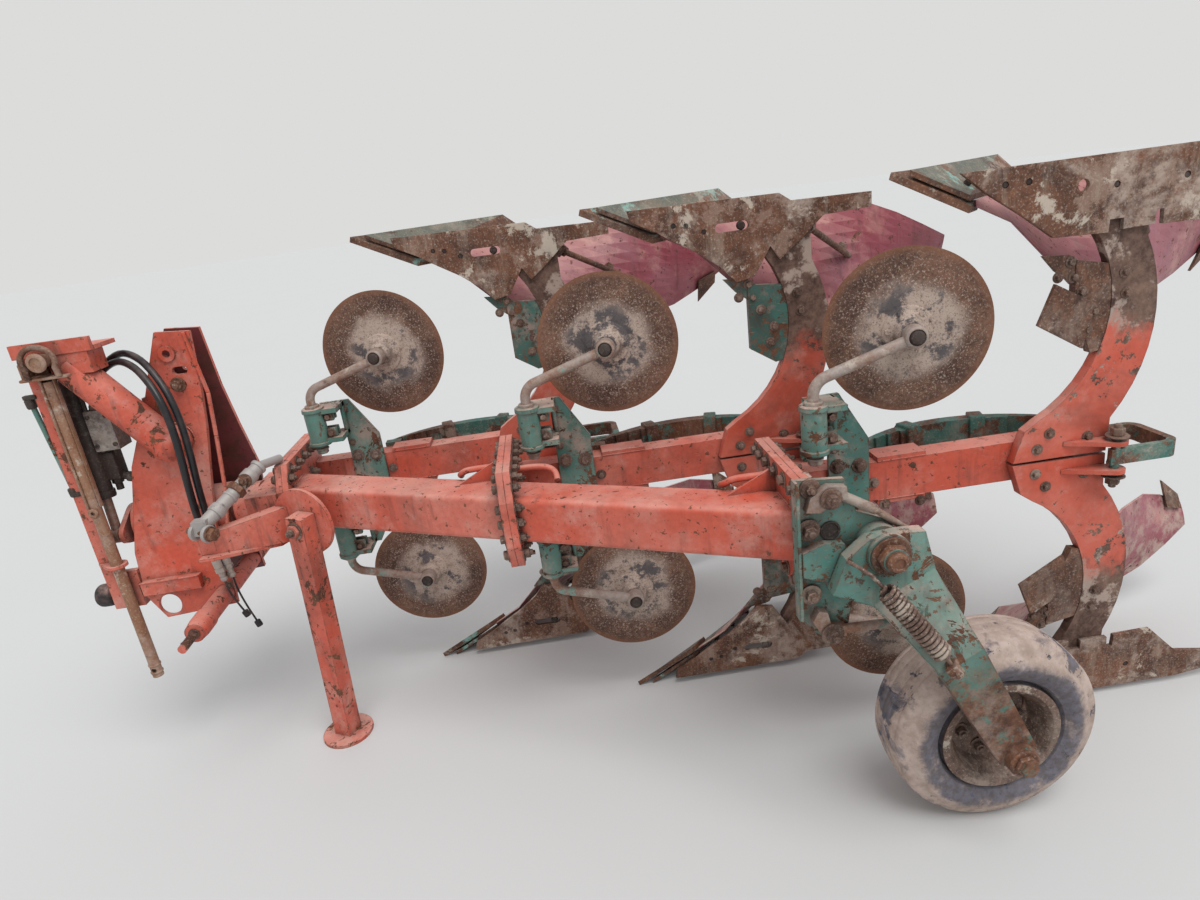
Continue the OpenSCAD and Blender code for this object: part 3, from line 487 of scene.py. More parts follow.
class PloughColours(bpy.types.PropertyGroup):
    red: colour_prop("Red paint", "cb543d", "Paint of the beams, legs and headstock where it is sound")
    red_faded: colour_prop("Faded red", "d6806e", "The same paint where sun and dust have dulled it")
    deep: colour_prop("Deep red", "8c3424", "Dark mottling in the red paint")
    crimson: colour_prop("Crimson paint", "91404d", "Paint on the backs of the mouldboards")
    crimson_faded: colour_prop("Faded crimson", "a5707a", "The same paint under dust")
    green: colour_prop("Green paint", "3f7a70", "Paint of the coulter mounts and the gauge wheel's arm")
    # Painted shade: a darker copy of the green paint, for the brackets under the upper bodies
    green_in_shade: colour_prop("Dark green", "33564f", "The same paint darkened by oil and soil behind the boards")
    green_faded: colour_prop("Faded green", "7aa094", "The same paint where it is dusty")
    teal: colour_prop("Pale teal", "7fb0a6", "Old paint left on the shares")
    # Real dust on faces that look up; its colour is also made light to paint the light from above on them
    dust: colour_prop("Dust", "ddb0a2", "Dust that lies on faces that look up")
    faded_dust: colour_prop("Scratches", "cf9f92", "Pale scratches in the paint")
    grime: colour_prop("Grime", "43352f", "Dirt in corners and streaks")
    mud: colour_prop("Dried mud", "c0ada0", "Dried mud on the lower parts")
    rust_dark: colour_prop("Dark rust", "3c2822", "Old dark rust")
    rust: colour_prop("Rust", "85583f", "Brown rust")
    rust_grey: colour_prop("Grey rust", "8f7263", "Scoured, greyish rust on the soil-working parts")
    bare: colour_prop("Dull steel", "a59d97", "Steel that has lost its shine")
    oily: colour_prop("Oily black", "24211f", "Oily paint of the turnover cylinder")
    rubber: colour_prop("Rubber", "16161a", "Hoses and the buffer")
    rubber_dusty: colour_prop("Dusty rubber", "47464c", "Rubber of the tyre where the mud has gone")
    rubber_blue: colour_prop("Rubber sheen", "5d6070", "Bluish sheen of old rubber")
    # Painted shade: the dark maroon laid on the faces inside the mast, between its plates
    mast_inner_shade: colour_prop("Maroon", "5e2a30", "Dark old paint inside the mast")
    zinc: colour_prop("Zinc grey", "a8a4a2", "Grey coat of the width spindle")
    pale: colour_prop("Pale patches", "d2c6b6", "Pale patches on the landsides")
    tan: colour_prop("Tan rust", "a07a60", "Light rust of the guide pipe")
    tyre_mud: colour_prop("Tyre mud", "a08c80", "Dried mud on the tyre")
    tyre_mud_light: colour_prop("Light tyre mud", "bfaca2", "Paler mud on the tyre")
    floor: colour_prop("Floor", "dcdcdb", "The plain floor and backdrop")


class PloughSizes(bpy.types.PropertyGroup):
    bolt: FloatProperty(name="Frame bolt", default=0.025, min=0.01, max=0.05, subtype="DISTANCE",
                        description="Width across flats of the frame's hexagon bolts")
    small_bolt: FloatProperty(name="Small bolt", default=0.018, min=0.008, max=0.04, subtype="DISTANCE",
                              description="Width across flats of the small hexagon bolts")
    hose: FloatProperty(name="Hose", default=0.024, min=0.01, max=0.04, subtype="DISTANCE",
                        description="Diameter of the two hoses")
    coils: IntProperty(name="Coils", default=19, min=8, max=40,
                       description="Turns of the gauge wheel's tension spring")
    coil_wire: FloatProperty(name="Spring wire", default=0.0105, min=0.003, max=0.02, subtype="DISTANCE",
                             description="Thickness of the tension spring's wire")
    welds: BoolProperty(name="Welds", default=True, description="Draw the weld beads between the plates")


# Mesh tools, which all take millimetres

def put(name, data, body, finish, slot=None):
    """Places a piece's finished mesh or curve in the scene, on its body and with its finish."""
    material, own = FINISHES[finish] if isinstance(finish, str) else (finish, slot)
    data.materials.append(material)
    piece = bpy.data.objects.new(name, data)
    bpy.context.scene.collection.objects.link(piece)
    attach(piece, body)
    return piece


def settle(name, bm, body, finish, smooth=32.0, slot=None):
    """Makes a finished piece of a bmesh and lets it ride on a body."""
    bmesh.ops.remove_doubles(bm, verts=bm.verts, dist=0.00002)
    bmesh.ops.recalc_face_normals(bm, faces=bm.faces)
    for face in bm.faces:
        face.smooth = True
    for edge in bm.edges:
        edge.smooth = len(edge.link_faces) == 2 and edge.calc_face_angle(0.0) < radians(smooth)
    mesh = bpy.data.meshes.new(name)
    bm.to_mesh(mesh)
    bm.free()
    return put(name, mesh, body, finish, slot)


def soften(bm, verts, width, segments=1, corners=0):
    """Bevels the edges between some vertices, or only those of faces with that many corners."""
    ends = set(verts)
    rims = [e for e in bm.edges if set(e.verts) <= ends
            and (not corners or any(len(f.verts) == corners for f in e.link_faces))]
    bmesh.ops.bevel(bm, geom=rims, offset=width / 1000, offset_type="OFFSET", segments=segments, profile=0.5,
                    affect="EDGES", material=-1)


def prism(bm, place, sides, radius, depth, chamfer):
    """A cylinder or hexagon standing on a place, with its rims bevelled."""
    made = bmesh.ops.create_cone(bm, cap_ends=True, segments=sides, radius1=radius / 1000, radius2=radius / 1000,
                                 depth=depth / 1000, matrix=raised(place, depth / 2))
    soften(bm, made["verts"], chamfer, corners=sides)


def block(bm, place, size, chamfer):
    """A box centred on a place, with its edges bevelled."""
    lengths = (side / 1000 for side in size)
    made = bmesh.ops.create_cube(bm, size=1.0, matrix=place @ Matrix.Diagonal((*lengths, 1.0)))
    soften(bm, made["verts"], chamfer, 2)


def blocks(bm, rows):
    """Boxes square to the drawing, from rows of a middle, a size and a chamfer."""
    for middle, size, chamfer in rows:
        block(bm, Matrix.Translation(spot(*middle)), size, chamfer)


def turned(bm, place, outline, steps):
    """A closed form, spun about the place's Z from (radius, height) pairs."""
    form = bmesh.new()
    ring = [form.verts.new((r / 1000, 0, h / 1000)) for r, h in outline]
    rails = [form.edges.new(pair) for pair in zip(ring, ring[1:])]
    bmesh.ops.spin(form, geom=ring + rails, cent=(0, 0, 0), axis=(0, 0, 1), angle=2 * pi, steps=steps,
                   use_merge=True, use_duplicate=False)
    bmesh.ops.remove_doubles(form, verts=form.verts, dist=0.00002)
    bmesh.ops.transform(form, matrix=place, verts=form.verts)
    mesh = bpy.data.meshes.new("form")
    form.to_mesh(mesh)
    form.free()
    bm.from_mesh(mesh)
    bpy.data.meshes.remove(mesh)


def collar(bm, place, inner, outer, tall, lip=1.0):
    """A turned ring with both outer rims bevelled."""
    turned(bm, place, [(inner, 0), (outer, 1), (outer + lip, 4), (outer + lip, tall - 4), (outer, tall),
                       (inner, tall)], 32)


def bolt(bm, point, way, width, turn=0.0, tall=0.62, tip=0.0):
    """A hexagon head on its washer; with tip, a nut with the thread standing out of it."""
    place = facing(point, way, turn)
    washer = width * 0.12
    prism(bm, place, 20, width * 0.95, washer, width * 0.02)
    prism(bm, raised(place, washer), 6, width * 0.577, width * tall, width * 0.05)
    if tip:
        prism(bm, raised(place, washer + width * tall - 1), 14, width * 0.3, tip, width * 0.05)


def plate(bm, outline, lift, chamfer=0.0):
    """A flat plate from its outline's points, given its thickness by an extrusion."""
    corners = [bm.verts.new(p) for p in outline]
    made = bmesh.ops.extrude_face_region(bm, geom=[bm.faces.new(corners)])
    moved = [v for v in made["geom"] if isinstance(v, bmesh.types.BMVert)]
    bmesh.ops.translate(bm, vec=Vector(lift) / 1000, verts=moved)
    if chamfer:
        soften(bm, corners + moved, chamfer)


def smooth_line(points, steps=6):
    """More points on a smooth curve through the given ones."""
    line = []
    for i in range(len(points) - 1):
        a, b, c, d = (points[max(0, min(len(points) - 1, j))] for j in (i - 1, i, i + 1, i + 2))
        for t in (j / steps for j in range(steps)):
            line.append(0.5 * (2 * b + (c - a) * t + (2 * a - 5 * b + 4 * c - d) * t * t
                               + (3 * b - a - 3 * c + d) * t ** 3))
    return line + [points[-1]]


def length_of(line):
    """The length of a line of points, in metres."""
    return sum((b - a).length for a, b in zip(line, line[1:]))


def wire(name, lines, radius, body, finish, sides=3):
    """Round wires or hoses along lines of points; sides is the bevel's resolution."""
    data = bpy.data.curves.new(name, "CURVE")
    data.dimensions = "3D"
    data.bevel_depth = radius / 1000
    data.bevel_resolution = sides
    data.use_fill_caps = True
    for points in lines:
        spline = data.splines.new("POLY")
        spline.points.add(len(points) - 1)
        for knot, point in zip(spline.points, points):
            knot.co = (*point, 1.0)
        spline.use_smooth = True
    return put(name, data, body, finish)


def weld(bm, start, end, radius, seed):
    """A weld bead: a rod from start to end whose thickness ripples."""
    def ripple(step):
        return 1.0 + 0.16 * sin(2.2 * step + seed)

    way = end - start
    steps = max(4, int(way.length / 0.006))
    ring = bmesh.ops.create_circle(bm, segments=6, radius=radius * 0.0007, matrix=facing(start, way))["verts"]
    edges = list({e for v in ring for e in v.link_edges})
    bmesh.ops.contextual_create(bm, geom=edges)
    for i in range(1, steps + 1):
        made = bmesh.ops.extrude_edge_only(bm, edges=edges)["geom"]
        ring = [g for g in made if isinstance(g, bmesh.types.BMVert)]
        edges = [g for g in made if isinstance(g, bmesh.types.BMEdge)]
        bmesh.ops.translate(bm, vec=way / steps, verts=ring)
        middle = start + way * i / steps
        swell = 0.6 if i == steps else ripple(i) / ripple(i - 1)
        for v in ring:
            v.co = middle + (v.co - middle) * swell
    bmesh.ops.contextual_create(bm, geom=edges)


def bolt_sizes(context):
    """Widths of the frame's bolts and of the small ones, in millimetres."""
    sizes = context.scene.plough_sizes
    return sizes.bolt * 1000, sizes.small_bolt * 1000


# Hoses

HOSE_ROUTE = [(-945, -185, 1333.6), (-937, -176, 1397), (-896, -163, 1463), (-822, -180, 1500), (-746, -229, 1486),
              (-684, -278, 1435), (-641, -314, 1357), (-623, -330, 1262), (-625, -331, 1161), (-635, -325, 1058),
              (-641, -320, 954), (-639, -314, 847), (-631, -308, 740)]
HOSE_APART = -26
STRAP_ROUTE = [(0, 0, 0), (2, 2, -60), (14, 4, -130), (34, 2, -200)]


class PLOUGH_OT_hoses(bpy.types.Operator):
    """Two hydraulic hoses from the valve block down beside the mast, with couplings and dust caps on straps"""
    bl_idname = "plough.hoses"
    bl_label = "Hoses"

    def execute(self, context):
        thick = context.scene.plough_sizes.hose
        start_x, _, start_z = HOSE_ROUTE[0]
        fittings = bmesh.new()
        for i in range(2):
            route = smooth_line([spot(x - i * 0.06 * (x - start_x), y + i * HOSE_APART,
                                      z - i * 0.13 * max(0, z - start_z)) for x, y, z in HOSE_ROUTE], 4)
            hose = wire(f"hose_{i + 1}", [route], thick * 500, "headstock", "hose", 6)
            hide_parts("hoses")
            way = (route[-1] - route[-2]).normalized()
            end = facing(route[-1] - way * 0.03, way)
            bm = bmesh.new()
            turned(bm, end, [(0, 0), (14.5, 0), (15, 2), (15, 30), (13.5, 32), (13.5, 36), (0, 36)], 24)
            prism(bm, raised(end, 35), 6, 16.5, 16, 1)
            turned(bm, end, [(0, 50), (11, 50), (11, 66), (9, 68), (9, 72), (11.5, 74), (11.5, 83), (6, 89),
                             (0, 90)], 24)
            coupling = settle(f"hose_coupling_{i + 1}", bm, "headstock", "zinc")
            length_of(route)
            mouth = route[-1] + way * 0.052
            line = smooth_line([mouth + Vector((x, y, z * (1.0 - 0.3 * i))) / 1000 for x, y, z in STRAP_ROUTE])
            strap = wire(f"cap_strap_{i + 1}", [line], 3.5, "headstock", "cap", 6)
            cap = bmesh.new()
            turned(cap, facing(line[-1], line[-1] - line[-2]),
                   [(0, -4), (10, -4), (11.5, -2), (11.5, 18), (10, 20), (0, 20)], 20)
            length_of(line)
            settle(f"dust_cap_{i + 1}", cap, "headstock", "cap")
            gland = facing(route[0] + Vector((0, 0, -0.004)), route[1] - route[0])
            prism(fittings, gland, 6, 18.5, 14, 1)
            turned(fittings, gland, [(0, 13), (15.5, 13), (15.5, 36), (14.5, 38), (0, 38)], 24)
        settle("hose_fittings", fittings, "headstock", "bare")
        return {"FINISHED"}


# Frame

# Places (y, z) of a flange's bolts: at its near end, in two long rows, and in its middle
FLANGE_BOLTS = ([(-105, 0), (-105, 50), (-105, -50), (-88, 112), (-88, -112)]
                + [(y, z) for z in (134, -134) for y in (-52, 22, 96, 170, 232, 280)]
                + [(148, -50), (148, 0), (148, 50)])


class PLOUGH_OT_flange_bolts(bpy.types.Operator):
    """Bolt heads and nuts of the frame's three flange pairs"""
    bl_idname = "plough.flange_bolts"
    bl_label = "Flange bolts"

    def execute(self, context):
        width, _ = bolt_sizes(context)
        out = FLANGE_T + 0.3
        for k in FURROWS:
            bm = bmesh.new()
            for i, (y, z) in enumerate(FLANGE_BOLTS):
                # The swing head covers the middle of the first flange's front
                if k > 0 or abs(z) > 95 or y > 135:
                    bolt(bm, in_furrow(k, FLANGE_X - out, BEAM_Y + y, z), AHEAD, width, turn=0.4 * i, tall=0.55)
                bolt(bm, in_furrow(k, FLANGE_X + out, BEAM_Y + y, z), BACK, width, turn=0.9 * i, tall=0.7,
                     tip=8 + 4 * (i % 3))
            settle(f"flange_bolts_{k + 1}", bm, "frame", "bolts")
        return {"FINISHED"}


class PLOUGH_OT_bent_rods(bpy.types.Operator):
    """Bent red rods on the main beam beside the flanges"""
    bl_idname = "plough.bent_rods"
    bl_label = "Bent rods"

    def execute(self, context):
        lines = []
        for k, back in ((1, 1), (1, -1), (2, -1)):
            x, y, z = FLANGE_X + back * (FLANGE_T + 0.3), BEAM_Y + (60 if back > 0 else 120), BEAM_H / 2 + 22
            lines.append(smooth_line([in_furrow(k, x + back * out, y + side, z + rise) for out, side, rise in (
                (0, 0, 18), (60, -3, 20), (112, -back * 10, 14), (136, -back * 26, -2), (140, -back * 60, -18))]))
        wire("bent_rods", lines, 10.5, "frame", "frame", 4)
        return {"FINISHED"}


# Legs and bodies

# Rows of bolts on each leg: (x, z) places, depth y, width as a share of the small bolt, height, and whether
# the turns are counted on from the furrow's number
LEG_ROWS = ((((420, 40), (455, 86), (575, 60), (660, 34)), 23.7, 1.0, 0.6, True),
            (((448, 548), (482, 586), (494, 543)), 30, 0.95, 0.55, False),
            (((640, 540), (650, 480)), 23.7, 1.0, 0.6, False))
# Bolts that only the upper leg has, as (turn, x, z)
UPPER_BOLTS = ((3, 518, 500), (4, 560, 440), (5, 545, 388))
SIDE_NEAR = 9.4
# The leaf spring packs: x of their middle, y of its far face, and how far they bow back from there
SPRING_X, SPRING_FAR, SPRING_BOW = 255, ARM_Y + ARM_W / 2 + 178, 950


class PLOUGH_OT_leg_fixings(bpy.types.Operator):
    """Pins, nuts and plates that hold the legs to their beams and springs"""
    bl_idname = "plough.leg_fixings"
    bl_label = "Leg fixings"

    def execute(self, context):
        _, small = bolt_sizes(context)
        for k in FURROWS:
            bm = bmesh.new()
            for side in (1, -1):
                bolt(bm, in_furrow(k, 640, -14, side * 62), (0, 0, side), 34, tall=0.7, tip=12, turn=k)
                for places, y, share, tall, counted in LEG_ROWS:
                    for i, (x, z) in enumerate(places):
                        bolt(bm, in_furrow(k, x, y, side * z), NEAR, small * share, turn=i + k * counted, tall=tall)
            for turn, x, z in UPPER_BOLTS:
                bolt(bm, in_furrow(k, x, 26, z), NEAR, small * 0.95, turn=turn, tall=0.55)
            for i, (x, z) in enumerate(((-36, -78), (75, -84))):
                bolt(bm, in_furrow(k, x, 56, z), NEAR, small, turn=i, tall=0.6)
            settle(f"leg_bolts_{k + 1}", bm, "frame", "bolts")
        return {"FINISHED"}


class PLOUGH_OT_spring_clamps(bpy.types.Operator):
    """Clips, centre clamps and bolts of the leaf spring packs"""
    bl_idname = "plough.spring_clamps"
    bl_label = "Leaf spring clamps"

    def execute(self, context):
        for k in FURROWS:
            bm = bmesh.new()
            for x, turn in ((140, 0.26), (370, -0.26)):
                y = SPRING_FAR - 26 - (x - SPRING_X) ** 2 / SPRING_BOW
                place = Matrix.Translation(in_furrow(k, x, y, 0)) @ Matrix.Rotation(turn, 4, "Z")
                block(bm, place, (45, 66, 176), 4)
                for z in (-0.062, 0.062):
                    bolt(bm, place @ Vector((0, 0.033, z)), FAR, 24, tip=10)
            for z, width, tip in ((0, 34, 14), (50, 26, 12), (-50, 26, 12)):
                bolt(bm, in_furrow(k, SPRING_X, SPRING_FAR, z), FAR, width, tip=tip)
            settle(f"spring_clamps_{k + 1}", bm, "frame", "springs")
        return {"FINISHED"}


# Both ends of a share's edge and of its back, and where its bolts lie as shares (along, up)
SHARE_EDGE = (Vector((20, 34, 885)), Vector((500, 432, 885)))
SHARE_BACK = (Vector((190, 40, 800)), Vector((600, 440, 800)))
SHARE_BOLTS = ((0.16, 0.72), (0.36, 0.78), (0.55, 0.8), (0.74, 0.8), (0.93, 0.8))
LANDSIDE_BOLTS = ((250, 800), (290, 795), (345, 770))
LONG_LANDSIDE_BOLTS = ((269, 816), (334, 816), (581, 780), (778, 781))


class PLOUGH_OT_body_bolts(bpy.types.Operator):
    """Plough bolts and nuts on the shares, landsides and mouldboards"""
    bl_idname = "plough.body_bolts"
    bl_label = "Body bolts"

    def execute(self, context):
        _, small = bolt_sizes(context)
        along = (SHARE_EDGE[1] - SHARE_EDGE[0]).normalized()
        for k in FURROWS:
            bm = bmesh.new()
            last = k == FURROWS[-1]
            for side in (1, -1):
                for x, z in LONG_LANDSIDE_BOLTS if last else LANDSIDE_BOLTS:
                    turned(bm, facing(in_furrow(k, x, SIDE_NEAR + 9, side * z), NEAR),
                           [(0, 0), (8.5, 0), (8.5, 5.5), (7, 7.5), (0, 8)], 18)
                if not last:
                    turned(bm, facing(in_furrow(k, 464, SIDE_NEAR + 8, side * 775), NEAR),
                           [(0, 0), (14, 0), (13.5, 9), (10, 12), (0, 12.5)], 20)
                for i, (u, v) in enumerate(SHARE_BOLTS):
                    low, high = SHARE_EDGE[0].lerp(SHARE_EDGE[1], u), SHARE_BACK[0].lerp(SHARE_BACK[1], u)
                    x, y, z = low.lerp(high, v)
                    out = along.cross((high - low).normalized())
                    if out.z < 0:
                        out = -out
                    bolt(bm, in_furrow(k, x, y, side * z), (out.x, out.y, side * out.z), small, turn=i, tall=0.7,
                         tip=6)
            settle(f"body_bolts_{k + 1}", bm, "frame", "plough_bolts")
        return {"FINISHED"}


class PLOUGH_OT_stay_ends(bpy.types.Operator):
    """Forked ends, lock nuts and bolts of the mouldboard stays"""
    bl_idname = "plough.stay_ends"
    bl_label = "Stay ends"

    def execute(self, context):
        for k in FURROWS:
            bm = bmesh.new()
            for side in (1, -1):
                low, high = in_furrow(k, 680, 67, side * 755), in_furrow(k, 940, 338, side * 610)
                way = (high - low).normalized()
                for reach, wide in ((0.052, 36), (0.33, 34)):
                    prism(bm, facing(low + way * reach, way), 6, wide * 0.577, 16, 1.5)
                block(bm, facing(low + way * 0.022, way, 0.6), (34, 50, 46), 4)
                bolt(bm, in_furrow(k, 668, 56, side * 755), NEAR, 24, tall=0.6)
            settle(f"stay_ends_{k + 1}", bm, "frame", "rust")
        return {"FINISHED"}


# Coulters

STEM_X, STEM_Y, STEM_TOP, STEM_D = -288.0, -48.0, 385.0, 32.0
HUB_Y, DISC_Z, BEND = -72.0, 465.0, 55.0
TOE, TURN_LOW = -10.0, 8.0
# Heights on a stem's straight part: its end, a point above that and its collar; and the radius, in metres, of a
# hub's bolt circle
STEM_FOOT, STEM_STRAIGHT, COLLAR_Z, HUB_RING = 150, 240, 306, 0.0575
STEM_RUN = hypot(STEM_X, HUB_Y - STEM_Y)
STEM_TURN = atan2(HUB_Y - STEM_Y, -STEM_X)
COULTERS = [(k, up) for k in FURROWS for up in (True, False)]


def stem_point(k, up, along, height):
    """A point in the plane of one stem: along it from the clamp, and up from the axis."""
    turn = STEM_TURN + (0.0 if up else radians(TURN_LOW))
    return in_furrow(k, STEM_X + along * cos(turn), STEM_Y + along * sin(turn), height if up else -height)


def disc_middle(k, up):
    """The middle of a disc, and the way its hub faces."""
    turn = 0.0 if up else radians(TURN_LOW)
    x = STEM_X - STEM_X * cos(turn) + STEM_Y * sin(turn)
    y = STEM_Y - STEM_X * sin(turn) - STEM_Y * cos(turn)
    toe = radians(TOE) + turn
    return in_furrow(k, x, y, DISC_Z if up else -DISC_Z), Vector((sin(toe), -cos(toe), 0))


class PLOUGH_OT_coulter_stems(bpy.types.Operator):
    """Cranked round stems with the eyes, caps and nuts of their axles"""
    bl_idname = "plough.coulter_stems"
    bl_label = "Coulter stems"

    def execute(self, context):
        lines, eyes, caps = [], bmesh.new(), bmesh.new()
        bend_z = STEM_TOP - BEND
        reach = hypot(STEM_RUN - BEND, DISC_Z - bend_z)
        rise = atan2(DISC_Z - bend_z, STEM_RUN - BEND) - asin(BEND / reach)
        for k, up in COULTERS:
            angles = [pi - (pi / 2 - rise) * i / 14 for i in range(15)]
            lines.append([stem_point(k, up, 0, STEM_FOOT), stem_point(k, up, 0, STEM_STRAIGHT)]
                         + [stem_point(k, up, BEND + BEND * cos(a), bend_z + BEND * sin(a)) for a in angles]
                         + [stem_point(k, up, STEM_RUN, DISC_Z)])
            middle, way = disc_middle(k, up)
            hub = facing(middle + way * 0.050, way)
            turned(eyes, hub, [(0, 0), (24, 0), (30, 4), (31.5, 12), (31.5, 36), (30, 44), (25, 48), (22.5, 48),
                                (21, 43), (0, 43)], 32)
            turned(caps, hub, [(0, 42), (20.5, 42), (20.5, 47), (17, 53), (8, 56), (0, 56.5)], 24)
            turned(eyes, facing(middle - way * 0.058, way), [(0, 0), (14.9, 0), (14.9, 110), (0, 110)], 24)
            prism(eyes, facing(middle - way * 0.038, -way), 6, 24, 20, 2)
            foot = facing(stem_point(k, up, 0, STEM_FOOT), DOWN if up else UP)
            prism(eyes, raised(foot, -1), 20, 24.5, 6, 1)
            prism(eyes, raised(foot, 5), 6, 21, 16, 2)
            turned(eyes, facing(stem_point(k, up, 0, COLLAR_Z), UP if up else DOWN),
                   [(15.5, 0), (26, 0), (26, 10), (24, 12), (15.5, 12)], 28)
        stems = wire("coulter_stems_round", lines, STEM_D / 2, "frame", "stems", 7)
        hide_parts("coulter_stems")
        settle("coulter_eyes", eyes, "frame", "stems")
        settle("coulter_caps", caps, "frame", "oily")
        return {"FINISHED"}


class PLOUGH_OT_coulter_hubs(bpy.types.Operator):
    """Domed hub flanges with their bolts, one on each disc"""
    bl_idname = "plough.coulter_hubs"
    bl_label = "Coulter hubs"

    def execute(self, context):
        for k, up in COULTERS:
            body = f"disc_{'up' if up else 'low'}_{k + 1}"
            middle, way = disc_middle(k, up)
            front, rear = facing(middle, way), facing(middle, -way)
            bm = bmesh.new()
            turned(bm, front, [(16, 4), (70, 4), (71.5, 8), (70, 13.5), (62, 15.5), (50, 18), (45.5, 26), (41.5, 40),
                              (37, 47.5), (33, 50.8), (16, 50.8)], 40)
            turned(bm, rear, [(16, 4), (66, 4), (67, 9), (64, 13), (46, 20), (38, 34), (34, 37.5), (16, 37.5)], 40)
            for i in range(6):
                for face, height in ((front, 0.014), (rear, 0.010)):
                    turn = Matrix.Rotation(tau * i / 6 + k, 4, "Z")
                    prism(bm, face @ turn @ Matrix.Translation((HUB_RING, 0, height)), 6, 8.5, 9.5, 1)
            settle("hub_of_" + body, bm, body, bpy.data.materials["steel_of_" + body], slot="disc_steel")
        return {"FINISHED"}


class PLOUGH_OT_coulter_clamps(bpy.types.Operator):
    """Folded clamps round the stems, with cross bolts, and the bolts of the mounting plates"""
    bl_idname = "plough.coulter_clamps"
    bl_label = "Coulter clamps"

    def execute(self, context):
        wide, small = bolt_sizes(context)
        plates, bm = bmesh.new(), bmesh.new()
        for k in FURROWS:
            for side in (1, -1):
                # Boxes as x, y, z, size and chamfer
                for x, y, z, size, chamfer in ((-246, -42, 203, (52, 20, 36), 4), (-246, -8, 203, (52, 14, 36), 3),
                                               (-246, -42, 267, (52, 20, 36), 4), (-246, -8, 267, (52, 14, 36), 3),
                                               (-204, 31, 235, (12, 36, 130), 3)):
                    block(plates, Matrix.Translation(in_furrow(k, x, y, side * z)), size, chamfer)
                for z in (203, 267):
                    bolt(bm, in_furrow(k, -240, -52, side * z), NEAR, small, tall=0.65)
                    bolt(bm, in_furrow(k, -240, -1, side * z), FAR, small, tall=0.7, tip=8)
                for z, outline in ((163, [(17, 0), (39, 0), (41, 3), (41, 12), (39, 15), (17, 15)]),
                                   (291, [(17, 0), (40, 0), (41, 3), (40, 14), (36, 17), (17, 17)])):
                    turned(plates, facing(in_furrow(k, STEM_X, STEM_Y, side * z), (0, 0, side)), outline, 32)
                for x, z, width, turn in ((-122, 67, wide, 0.3 + k), (-189, 74, wide, 1.1 + k),
                                          (-199, 130, small * 0.8, k), (-199, 262, small * 0.8, k)):
                    bolt(bm, in_furrow(k, x, 41.7, side * z), NEAR, width, turn=turn, tall=0.6)
            bolt(bm, in_furrow(k, -72, 55.7, -3), NEAR, small, turn=0.5, tall=0.7)
        settle("clamp_plates", plates, "frame", "green")
        settle("coulter_bolts", bm, "frame", "bolts")
        return {"FINISHED"}


# Gauge wheel

WHEEL_Y, TYRE_R = -1131.0, 290.0
NUT_RING, NUT_TURN, RIM_NUT = 82, degrees(0.2), 24
PIVOT_X, ARM_LEN = 1380.0, 668.0
AXLE_FALL = AXIS_H - TYRE_R
AXLE_X = PIVOT_X + sqrt(ARM_LEN ** 2 - AXLE_FALL ** 2)
ARM_DIR = atan2(AXLE_FALL, AXLE_X - PIVOT_X)
ARM_TOP, ARM_FACE = -1190.0, -1305.0
# The tension spring: outer radius in metres, points on each turn, and how fast its ends close in
COIL_R, COIL_STEPS, COIL_TAPER = 0.0275, 20, 14
# One side of the tyre as (radius, half width): its bead, where the round side wall starts, and its tread
TYRE_BEAD = [(152.4, 80), (154, 84), (160, 85.5)]
TYRE_TREAD = [(262, 86), (271, 82), (279, 75), (283.5, 67), (284, 62), (281.5, 59), (282, 54), (285.5, 50),
              (287.5, 38), (288.8, 26), (287.6, 23), (287.8, 18), (289.4, 15), (290, 4)]
# The side wall is an arc; at some of its degrees a ridge stands out
WALL_R, WALL_MIDDLE, WALL_RIDGES = 52, (216, 54), {-42: 1.8, 6: 1.4, 30: 1.2}


def on_arm(along, y, across):
    """A point of the wheel arm's frame: along the arm from its pivot, and across it."""
    c, s = cos(ARM_DIR), sin(ARM_DIR)
    return spot(PIVOT_X + along * c + across * s, y, AXIS_H - along * s + across * c)


class PLOUGH_OT_tension_spring(bpy.types.Operator):
    """The gauge wheel's coil spring with its hooks"""
    bl_idname = "plough.tension_spring"
    bl_label = "Tension spring"

    def execute(self, context):
        sizes = context.scene.plough_sizes
        top, bottom = on_arm(18, ARM_TOP - 58, -64), on_arm(262, ARM_FACE - 14, -28)
        way = bottom - top
        place = facing(top, way)
        radius = COIL_R - sizes.coil_wire / 2
        line = [on_arm(-44, ARM_TOP - 4, -96), on_arm(-34, ARM_TOP - 30, -84), on_arm(-10, ARM_TOP - 52, -70)]
        steps = sizes.coils * COIL_STEPS
        for share in (i / steps for i in range(steps + 1)):
            wide = radius * min(1.0, share * COIL_TAPER, (1 - share) * COIL_TAPER)
            angle = tau * sizes.coils * share
            line.append(place @ Vector((wide * cos(angle), wide * sin(angle),
                                        0.012 + (way.length - 0.02) * share)))
        line.append(on_arm(276, ARM_FACE - 16, -28))
        coil = wire("tension_spring", [line], sizes.coil_wire * 500, "wheel_arm", "coil")
        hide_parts("wheel_spring")
        bm = bmesh.new()
        block(bm, facing(on_arm(284, ARM_FACE - 17, -28), way), (44, 30, 22), 4)
        bolt(bm, on_arm(288, ARM_FACE - 34, -28), NEAR, sizes.small_bolt * 1000, tall=0.6)
        prism(bm, facing(on_arm(300, ARM_FACE - 17, -26), way), 6, 14, 14, 1)
        settle("spring_clamp", bm, "wheel_arm", "rust")
        return {"FINISHED"}


